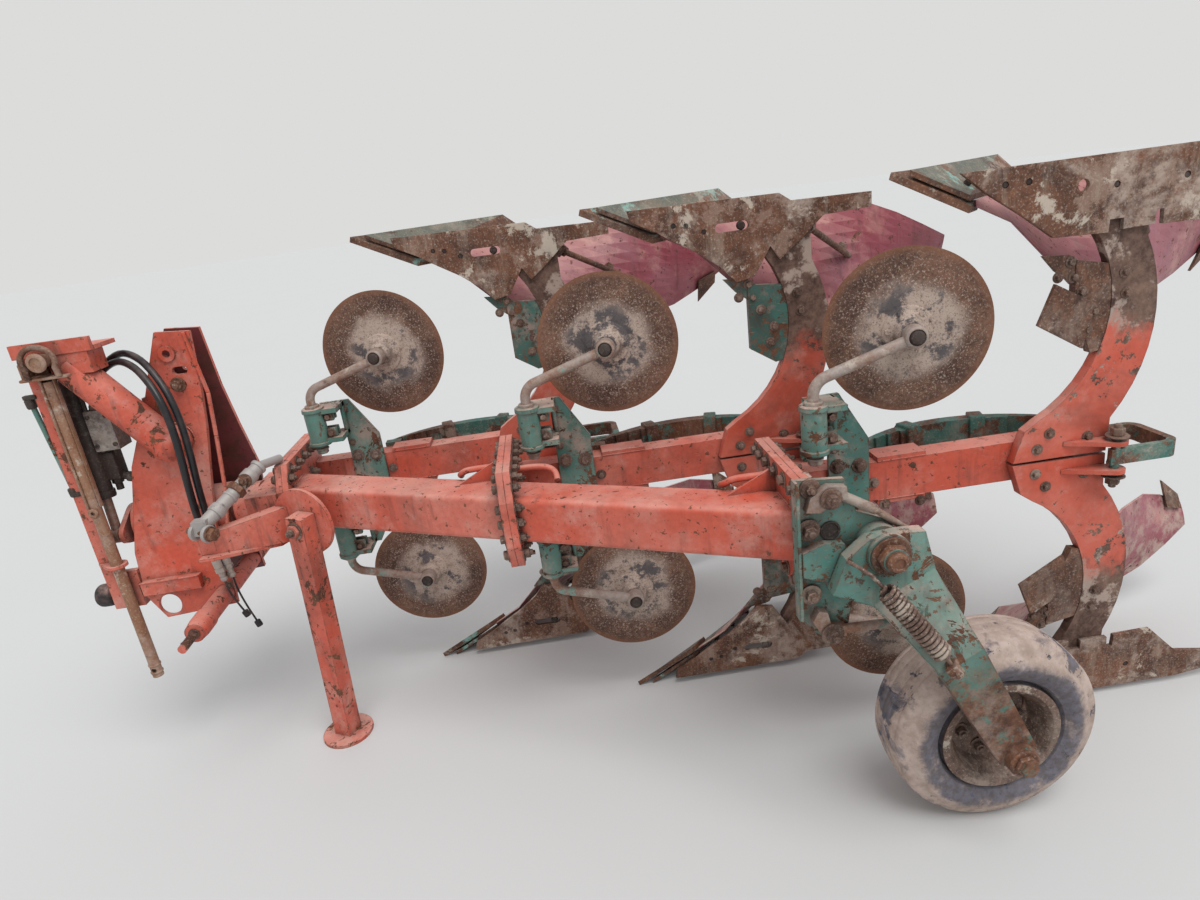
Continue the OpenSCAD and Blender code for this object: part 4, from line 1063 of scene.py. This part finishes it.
class PLOUGH_OT_tyre(bpy.types.Operator):
    """The ribbed implement tyre and the nuts and valve of its rim"""
    bl_idname = "plough.tyre"
    bl_label = "Tyre and rim"

    def execute(self, context):
        wall = []
        for turn in range(-72, 49, 6):
            radius = WALL_R + WALL_RIDGES.get(turn, 0.0)
            wall.append((WALL_MIDDLE[0] + radius * sin(radians(turn)), WALL_MIDDLE[1] + radius * cos(radians(turn))))
        half = TYRE_BEAD + wall + TYRE_TREAD
        outline = half + [(r, -y) for r, y in reversed(half)] + half[:1]
        bm = bmesh.new()
        turned(bm, near(AXLE_X, WHEEL_Y, TYRE_R), outline, 96)
        tyre = settle("ribbed_tyre", bm, "wheel", "tyre", 38.0)
        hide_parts("wheel_tyre")
        bm = bmesh.new()
        for i in range(6):
            turn = 60 * i + NUT_TURN
            bolt(bm, round_spot(AXLE_X, WHEEL_Y - 27, TYRE_R, NUT_RING, turn), NEAR, RIM_NUT, tall=0.7, tip=8)
            bolt(bm, round_spot(AXLE_X, WHEEL_Y - 8, TYRE_R, NUT_RING, turn), FAR, RIM_NUT, tall=0.5)
        turned(bm, near(AXLE_X, WHEEL_Y - 59, TYRE_R),
               [(18, 0), (48, 0), (50, 4), (46, 12), (18, 14)], 36)
        turned(bm, facing(spot(AXLE_X + 92, WHEEL_Y - 40, TYRE_R + 76), (-0.5, -0.8, -0.4)),
               [(0, 0), (4, 0), (4, 30), (5.2, 30), (5.2, 40), (0, 41)], 14)
        settle("rim_nuts", bm, "wheel", "rim")
        return {"FINISHED"}


class PLOUGH_OT_wheel_fixings(bpy.types.Operator):
    """Bolts, cap nuts and washers of the gauge wheel's bracket and arm, and a black cup of painted shade in the
    bracket's recess
    """
    bl_idname = "plough.wheel_fixings"
    bl_label = "Gauge wheel fixings"

    def execute(self, context):
        bm, recess_shade, arm = bmesh.new(), bmesh.new(), bmesh.new()
        # The bracket's bolts as x, y, z and width
        for x, y, z, width in ((1203, -1116, 945, 32), (1204, -1116, 757, 30), (1254, -1142.4, 1034, 30),
                               (1250, -1142.4, 645, 32), (1210, -1116, 1058, 22)):
            turned(bm, near(x, y, z), [(0, 0), (27, 0), (27, 3), (25, 5), (0, 5)], 28)
            bolt(bm, spot(x, y - 4, z), NEAR, width, turn=x, tall=0.6, tip=12)
        settle("bracket_bolts", bm, "frame", "bolts")
        # Painted shade: a shallow black cup in the oily black finish stands for the dark recess of the wheel bracket
        turned(recess_shade, near(1260, -1116, 934),
               [(0, 0), (26, 0), (26.5, 4), (25, 5.5), (22, 5.5), (20, 1), (0, 0.8)], 32)
        settle("bracket_recess_shade", recess_shade, "frame", "oily")
        pivot = facing(spot(PIVOT_X, ARM_TOP - 14, AXIS_H), NEAR, 0.4)
        turned(arm, pivot, [(30, 0), (50, 0), (52, 4), (50, 8), (30, 8)], 36)
        prism(arm, raised(pivot, 8), 6, 41, 22, 4)
        turned(arm, pivot, [(0, 28), (27, 28), (27.5, 42), (22, 50), (16, 50), (14, 46), (0, 46)], 30)
        axle = facing(on_arm(ARM_LEN, ARM_FACE - 20, 0), NEAR, 0.7) @ Matrix.Diagonal((1, 1, 0.68, 1))
        turned(arm, axle, [(20, 0), (40, 0), (40.5, 5), (36, 10), (20, 10)], 32)
        prism(arm, raised(axle, 9), 6, 30, 20, 3)
        turned(arm, axle, [(0, 28), (16, 28), (16, 41), (14, 43), (0, 43)], 22)
        settle("arm_nuts", arm, "wheel_arm", "rust")
        return {"FINISHED"}


# Headstock

PIPE_X, PIPE_Y = -1000.0, -305.0
# Where the rubber buffer stands, and where the screw in its end sits
BUFFER, BUFFER_END = (-1075.3, -245, 656), (-1132.6, -245, 656)
# The weld round the tube that stands on the mast's near side: its middle and its radius
TUBE, TUBE_R = (-712, -206, 1185), 58
MAST_X, LINK_Z, LINK_HALF = -668.0, 612.0, 412.5
# Half the width between the mast's plates at their top, and how they splay lower down
MAST_HALF, MAST_LEAN = 46.0, radians(8)
# The turnover cylinder's upper pin, and its lower one as a radius and an angle about the turnover axis
CYLINDER_PIN, CRANK_R, CRANK_TURN = (-1005, -200, 1490), 92, radians(185.66)


class PLOUGH_OT_guide_pipe(bpy.types.Operator):
    """Slotted sleeve, clevis and pin on the rusty guide pipe, and the thin green rod beside it"""
    bl_idname = "plough.guide_pipe"
    bl_label = "Guide pipe fittings"

    def execute(self, context):
        bm = bmesh.new()
        turns = range(-20, 251, 15)
        arc = [(25.5, radians(a)) for a in turns] + [(20.5, radians(a)) for a in reversed(turns)]
        plate(bm, [spot(PIPE_X + r * cos(a), PIPE_Y + r * sin(a), 1015) for r, a in arc], (0, 0, 455))
        blocks(bm, (((-990, PIPE_Y, 1474), (150, 70, 10), 4), ((-1052, PIPE_Y, 1500), (10, 60, 56), 4)))
        turned(bm, near(-982, PIPE_Y - 44, 1528),
               [(0, -70), (20, -70), (22, -4), (30, 0), (31, 6), (28, 10), (18, 12), (17, 8), (0, 8)], 30)
        turned(bm, near(PIPE_X, PIPE_Y - 17, 1000),
               [(6, 0), (16.5, 0), (17, 6), (14, 9), (7, 9), (6, 5)], 24)
        for z in (345, 375):
            turned(bm, facing(spot(PIPE_X, PIPE_Y, z), UP), [(18.5, 0), (21.5, 1), (22, 5), (18.5, 7)], 26)
        settle("guide_sleeve", bm, "headstock", "pipe")
        angles = [radians(a) for a in range(-30, 211, 12)]
        loop = [spot(-982 + 52 * cos(a), PIPE_Y - 40, 1530 + 46 * sin(a)) for a in angles]
        feet = loop[0] + Vector((0.004, 0, -0.03)), loop[-1] + Vector((-0.004, 0, -0.03))
        wire("clevis_loop", [[feet[0], *loop, feet[1]]], 9, "headstock", "rust", 4)
        wire("thin_rod", [[spot(-1100, -270, 1415), spot(-1070, -270, 1065)]], 8.5, "headstock", "green", 4)
        bm = bmesh.new()
        for x, z in ((-1101, 1405), (-1073, 1085)):
            turned(bm, facing(spot(x, -270, z), (0.08, 0, -1)),
                   [(0, 0), (14, 0), (16, 4), (16, 26), (13, 32), (0, 32)], 22)
        blocks(bm, (((-1090, -275, 1412), (44, 20, 14), 3), ((-1060, -275, 1062), (40, 20, 16), 3)))
        settle("thin_rod_ends", bm, "headstock", "oily")
        return {"FINISHED"}


class PLOUGH_OT_hydraulics(bpy.types.Operator):
    """Block, screws, pipes and glands of the turnover cylinder"""
    bl_idname = "plough.hydraulics"
    bl_label = "Turnover hydraulics"

    def execute(self, context):
        bm, barrel = bmesh.new(), bmesh.new()
        blocks(bm, (((-962, -196, 1128), (62, 62, 100), 6),))
        turned(bm, facing(spot(-934, -200, 1082), (1, -0.1, -0.25)),
               [(0, -20), (13, -20), (13, 16), (18, 18), (18, 40), (15, 43), (0, 43)], 24)
        prism(bm, facing(spot(-962, -196, 1078), DOWN), 6, 19, 20, 2)
        turned(bm, facing(spot(-962, -196, 1058), DOWN), [(0, 0), (12, 0), (12, 24), (0, 26)], 20)
        for x, z in ((-958, 1210), (-898, 1210), (-958, 1312), (-898, 1312)):
            turned(bm, near(x, -244.5, z), [(0, 0), (7.5, 0), (7.5, 5), (4.5, 6), (4.5, 3), (0, 3)], 16)
        settle("valve_parts", bm, "headstock", "oily")
        low = [(-930, -205, 1192), (-932, -206, 1165), (-948, -206, 1150)]
        high = [(-960, -236, 1331), (-962, -232, 1372), (-974, -220, 1408), (-990, -206, 1434)]
        pipes = [smooth_line([spot(*p) for p in points], steps) for points, steps in ((low, 5), (high, 6))]
        wire("hard_pipes", pipes, 6.5, "headstock", "oily")
        top = spot(*CYLINDER_PIN)
        eye = spot(CYLINDER_PIN[0], HEAD_Y + CRANK_R * cos(CRANK_TURN), AXIS_H + CRANK_R * sin(CRANK_TURN))
        way = (eye - top).normalized()
        for reach, wide, tall in ((0.050, 33, 16), (0.445, 34, 26)):
            collar(barrel, facing(top + way * reach, way), 28.5, wide, tall)
        settle("barrel_collars", barrel, "turn_barrel", "oily")
        return {"FINISHED"}


class PLOUGH_OT_mast_parts(bpy.types.Operator):
    """Bolts, ribs and the folded rear edges of the mast, and the sleeves and pins of the cross shaft"""
    bl_idname = "plough.mast_parts"
    bl_label = "Mast parts"

    def execute(self, context):
        def on_side(x, z, side, out):
            lean = max(0.0, 1330 - z) * tan(MAST_LEAN)
            return spot(x, HEAD_Y + side * (MAST_HALF + lean + out), z)

        bm, ribs, pins, sleeves, small = (bmesh.new() for _ in range(5))
        for side in (-1, 1):
            place = facing(spot(-663, HEAD_Y + side * MAST_HALF, 1371), (0, side, 0))
            turned(bm, place, [(0, 0), (26, 0), (26, 3), (24.5, 5), (0, 5)], 28)
            prism(bm, raised(place, 5), 6, 17.5, 16, 2)
            turned(bm, place, [(0, 21), (10, 21), (10, 27), (8, 29), (0, 29)], 18)
        settle("mast_bolts", bm, "headstock", "rust")
        for side, edge in ((-1, ((-588, 1545), (-566, 1330), (-573, 1180), (-585, 1000), (-618, 800), (-660, 700))),
                           (1, ((-588, 1545), (-612, 1208), (-660, 880), (-664, 740)))):
            for (xa, za), (xb, zb) in zip(edge, edge[1:]):
                corners = ((xa, za), (xb, zb), (xb - 13, zb), (xa - 13, za))
                plate(ribs, [on_side(x, z, side, -1) for x, z in corners], (0, side * 9, 0), 2)
        turned(ribs, facing(on_side(-880, 600, 1, -13), (0, cos(MAST_LEAN), sin(MAST_LEAN))),
               [(0, 0), (47, 0), (48, 2), (47, 4), (0, 4)], 36)
        settle("mast_edges", ribs, "headstock", "mast")
        for side in (-1, 1):
            shoulder = facing(spot(MAST_X - 12, HEAD_Y + side * LINK_HALF, LINK_Z), (0, side, 0))
            turned(sleeves, shoulder, [(30, -105), (36, -103), (37.5, -95), (37.5, -40), (35, -20), (33, -4),
                                       (30, 1), (14.5, 1)], 40)
            turned(pins, shoulder, [(13.9, 0), (18.5, 0), (18.5, 6), (14.6, 8), (14.3, 86), (12, 93.5), (7.5, 94.8),
                                    (7, 90), (0, 90)], 30)
            turned(pins, facing(spot(MAST_X - 12, HEAD_Y + side * (LINK_HALF + 78), LINK_Z + 13.5), UP),
                   [(4.5, 0), (7.5, 0), (7.5, 1.5), (5.5, 2), (4.5, 1)], 16)
        settle("link_sleeves", sleeves, "headstock", "head")
        settle("link_pins", pins, "headstock", "rust")
        for z in (716, 744, 672):
            bolt(small, spot(-850 + 0.3 * z, -306, z - 20), NEAR, bolt_sizes(context)[1] * 0.8)
        turned(small, facing(spot(*BUFFER_END), AHEAD), [(0, 0), (12, 0), (13, 2), (10, 4), (0, 4)], 20)
        settle("head_bolts", small, "headstock", "bolts")
        return {"FINISHED"}


class PLOUGH_OT_bumper(bpy.types.Operator):
    """The rubber buffer with its rounded end"""
    bl_idname = "plough.bumper"
    bl_label = "Rubber buffer"

    def execute(self, context):
        bm = bmesh.new()
        turned(bm, facing(spot(*BUFFER), AHEAD),
               [(0, 0.5), (30, 0.5), (34, 3), (40.5, 10), (42, 22), (42, 44), (40, 53), (35, 59.5), (28, 61.7),
                (12, 61.7), (10, 57), (0, 57)], 40)
        buffer = settle("buffer", bm, "headstock", "bumper")
        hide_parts("bumper")
        return {"FINISHED"}


class PLOUGH_OT_width_spindle(bpy.types.Operator):
    """Fork, rings, collars and nuts of the spindle that sets the first furrow's width"""
    bl_idname = "plough.width_spindle"
    bl_label = "Width spindle"

    def execute(self, context):
        fork, knee, pin = spot(-575, -500, 960), spot(-430, -300, 1075), spot(-575, -512, 945)
        way, across = (knee - fork).normalized(), Vector((1.0, -0.45, -0.1)).normalized()
        bm, nuts = bmesh.new(), bmesh.new()
        for reach in (-0.030, 0.020):
            turned(bm, facing(pin + across * reach, across),
                   [(11, 0), (27, 0), (29, 3), (29, 10), (27, 13), (11, 13)], 32)
        for reach, wide, tall in ((0.055, 26, 30), (0.125, 25, 10), (0.205, 26.5, 34), (0.262, 26, 14)):
            collar(bm, facing(fork + way * reach, way), 20, wide, tall, 1.5)
        settle("spindle_rings", bm, "frame", "zinc")
        end = facing(pin + across * 0.034, across)
        turned(nuts, end, [(0, -90), (10.5, -90), (10.5, 0), (24, 0), (24, 4), (0, 4)], 24)
        prism(nuts, raised(end, 4), 6, 22, 18, 2)
        prism(nuts, facing(fork + way * 0.150, way, 0.4), 6, 32, 24, 2)
        bolt(nuts, fork + way * 0.215 + Vector((0, -0.026, 0)), (0, -1, 0.3), 26, tip=10)
        settle("spindle_nuts", nuts, "frame", "rust")
        return {"FINISHED"}


class PLOUGH_OT_stand_parts(bpy.types.Operator):
    """Washer and end of the parking stand's pin"""
    bl_idname = "plough.stand_parts"
    bl_label = "Stand parts"

    def execute(self, context):
        bm = bmesh.new()
        pin = facing(on_beam(181, -215.3, -15), on_beam(0, -1000, 0) - on_beam(0, 0, 0))
        turned(bm, pin, [(13, 0), (30, 0), (31, 2), (29, 4), (13, 4)], 28)
        turned(bm, pin, [(0, 14), (13, 14), (13, 30), (11, 33), (0, 33)], 20)
        settle("stand_bolts", bm, "frame", "bolts")
        return {"FINISHED"}


# Welds

class PLOUGH_OT_welds(bpy.types.Operator):
    """Weld beads along the joints of the frame and the headstock"""
    bl_idname = "plough.welds"
    bl_label = "Welds"

    def execute(self, context):
        if not context.scene.plough_sizes.welds:
            return {"FINISHED"}
        bm, head = bmesh.new(), bmesh.new()
        face = FLANGE_T + 1
        wide = BEAM_W / 2 / cos(SKEW) + 1
        for k in (0, 1):
            # Each beam section ends at the rear of one flange and at the front of the next
            for at, out in ((k, 1), (k + 1, -1)):
                x, y = FLANGE_X + out * face, BEAM_Y - out * face * tan(SKEW)
                for z in (-BEAM_H / 2, BEAM_H / 2):
                    weld(bm, in_furrow(at, x, y - wide + 18, z), in_furrow(at, x, y + wide - 18, z), 6, k)
                for side in (y - wide, y + wide):
                    weld(bm, in_furrow(at, x, side, -60), in_furrow(at, x, side, 60), 6, k + 2)
        x, side_near, side_far = FLANGE_X + face, ARM_Y - ARM_W / 2, ARM_Y + ARM_W / 2
        for k in FURROWS:
            for z in (-ARM_H / 2, ARM_H / 2):
                weld(bm, in_furrow(k, x, side_near + 2, z), in_furrow(k, x, side_far - 2, z), 6, k)
            weld(bm, in_furrow(k, x, side_near, -58), in_furrow(k, x, side_near, 58), 6, k + 1)
            for z in (-ARM_H / 2 - 1, ARM_H / 2 + 1):
                weld(bm, in_furrow(k, -60, side_near, z), in_furrow(k, 90, side_near, z), 4.5, k)
        settle("frame_welds", bm, "frame", "weld", 60.0)
        weld(head, spot(-672, HEAD_Y - 68, 1212), spot(-700, HEAD_Y - 62, 1300), 6, 1)
        for i in range(24):
            weld(head, round_spot(*TUBE, TUBE_R, 15 * i), round_spot(*TUBE, TUBE_R, 15 * (i + 1)), 6, i)
        weld(head, spot(-950, -306, 706), spot(-745, -306, 706), 5, 3)
        settle("head_welds", head, "headstock", "head", 60.0)
        return {"FINISHED"}


# Stage and finishes of the solids

FLOOR_R, FLOOR_SHADE = 60.0, 0.84
SKY_LIGHT, SKY_TINT = 0.69, (0.96, 0.98, 1.0, 1.0)
SUN_LIGHT, SUN_ANGLE, SUN_WAY = 1.85, radians(40), (0.22, -0.45, 1.0)
# The photograph's camera: focal length in pixels of its width, yaw, pitch and roll, and its place in the drawing
FOCAL, PHOTO_WIDTH, SENSOR = 750.61, 1200, 36.0
YAW, LOOK_DOWN, ROLL = (radians(a) for a in (2.4951, 19.2665, -7.4956))
EYE = (629.2, -2811.5, 1832.3)


def link_new(name, data):
    """A new object of the stage, linked to the scene."""
    made = bpy.data.objects.new(name, data)
    bpy.context.scene.collection.objects.link(made)
    return made


class PLOUGH_OT_stage(bpy.types.Operator):
    """Floor, light and the camera at the photograph's viewing angle"""
    bl_idname = "plough.stage"
    bl_label = "Stage"

    def execute(self, context):
        scene = context.scene
        scene.view_settings.view_transform = "Standard"
        shade = scene.plough_colours.floor
        bm = bmesh.new()
        bmesh.ops.create_circle(bm, cap_ends=True, segments=64, radius=FLOOR_R)
        mesh = bpy.data.meshes.new("floor")
        bm.to_mesh(mesh)
        bm.free()
        mesh.materials.append(floor_finish("floor", tuple(c * FLOOR_SHADE for c in shade)))
        link_new("floor", mesh)
        scene.world = bpy.data.worlds.new("studio")
        scene.world.use_nodes = True
        world = Nodes(scene.world.node_tree)
        path = world.node("LightPath").outputs
        seen = Reading(world, path["Is Camera Ray"]).most(path["Is Glossy Ray"]).most(path["Is Transmission Ray"])
        sky = world.node("Background", {"Color": shade, "Strength": 1.0}).outputs[0]
        light = world.node("Background", {"Color": SKY_TINT, "Strength": SKY_LIGHT}).outputs[0]
        both = world.node("MixShader", {0: seen, 1: light, 2: sky}).outputs[0]
        world.node("OutputWorld", {"Surface": both})
        sun = bpy.data.lights.new("key", "SUN")
        sun.energy, sun.angle = SUN_LIGHT, SUN_ANGLE
        link_new("key", sun).matrix_world = facing(Vector((0, 0, 5)), SUN_WAY)
        camera = bpy.data.cameras.new("camera")
        camera.sensor_width, camera.lens, camera.clip_end = SENSOR, FOCAL / PHOTO_WIDTH * SENSOR, 5 * FLOOR_R
        forward = Vector((sin(YAW) * cos(LOOK_DOWN), cos(YAW) * cos(LOOK_DOWN),
                          -sin(LOOK_DOWN)))
        right = Vector((cos(YAW), -sin(YAW), 0))
        up = right.cross(forward)
        across = right * cos(ROLL) + up * sin(ROLL)
        upright = up * cos(ROLL) - right * sin(ROLL)
        turn = Matrix((across, upright, -forward)).transposed().to_4x4()
        scene.camera = link_new("camera", camera)
        scene.camera.matrix_world = Matrix.Translation(spot(*EYE)) @ turn
        return {"FINISHED"}


# Solids whose finish isn't the usual one of their slot
OWN_FINISH = {"swing_head": "swing", "mast": "mast", "stand": "stand", "wheel_arm": "arm", "width_cylinder": "zinc",
              "guide_pipe": "pipe", "valve_block": "valve", "frog_bracket_3": "rust"}


class PLOUGH_OT_finishes(bpy.types.Operator):
    """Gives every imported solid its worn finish"""
    bl_idname = "plough.finishes"
    bl_label = "Finishes of the solids"

    def execute(self, context):
        usual = {}
        for finish, slot in FINISHES.values():
            usual.setdefault(slot, finish)
        for part in frame["record"]["subparts"]:
            name, slot = part["node"], part["material_slot"]
            if slot == "disc_steel":
                finish = disc_finish("steel_of_" + name, context.scene.plough_colours, middle_of(name))
            elif name in OWN_FINISH:
                finish, _ = FINISHES[OWN_FINISH[name]]
            else:
                finish = usual[slot]
            materials = NODES[name].data.materials
            materials.clear()
            materials.append(finish)
        return {"FINISHED"}


class PLOUGH_PT_panel(bpy.types.Panel):
    """Lists the plough's operators"""
    bl_idname = "PLOUGH_PT_panel"
    bl_label = "Reversible plough"
    bl_space_type = "VIEW_3D"
    bl_region_type = "UI"
    bl_category = "Plough"

    def draw(self, context):
        for operator in OPERATORS:
            self.layout.operator(operator.bl_idname)
        for owner in (context.scene.plough_sizes, context.scene.plough_colours):
            for name in owner.__annotations__:
                self.layout.prop(owner, name)


OPERATORS = (PLOUGH_OT_stage, PLOUGH_OT_hoses, PLOUGH_OT_finishes, PLOUGH_OT_flange_bolts, PLOUGH_OT_bent_rods,
             PLOUGH_OT_leg_fixings, PLOUGH_OT_spring_clamps, PLOUGH_OT_body_bolts, PLOUGH_OT_stay_ends,
             PLOUGH_OT_coulter_stems, PLOUGH_OT_coulter_hubs, PLOUGH_OT_coulter_clamps, PLOUGH_OT_tension_spring,
             PLOUGH_OT_tyre, PLOUGH_OT_wheel_fixings, PLOUGH_OT_guide_pipe, PLOUGH_OT_hydraulics,
             PLOUGH_OT_mast_parts, PLOUGH_OT_bumper, PLOUGH_OT_width_spindle, PLOUGH_OT_stand_parts, PLOUGH_OT_welds)
CLASSES = (PloughColours, PloughSizes, *OPERATORS, PLOUGH_PT_panel)
FINISHES = {}


def register():
    for each in CLASSES:
        bpy.utils.register_class(each)
    bpy.types.Scene.plough_colours = PointerProperty(type=PloughColours)
    bpy.types.Scene.plough_sizes = PointerProperty(type=PloughSizes)


def unregister():
    del bpy.types.Scene.plough_sizes
    del bpy.types.Scene.plough_colours
    for each in reversed(CLASSES):
        bpy.utils.unregister_class(each)


def main():
    register()
    FINISHES.update(make_finishes(bpy.context.scene.plough_colours))
    for operator in OPERATORS:
        group, name = operator.bl_idname.split(".")
        getattr(getattr(bpy.ops, group), name)()


if __name__ == "__main__":
    main()
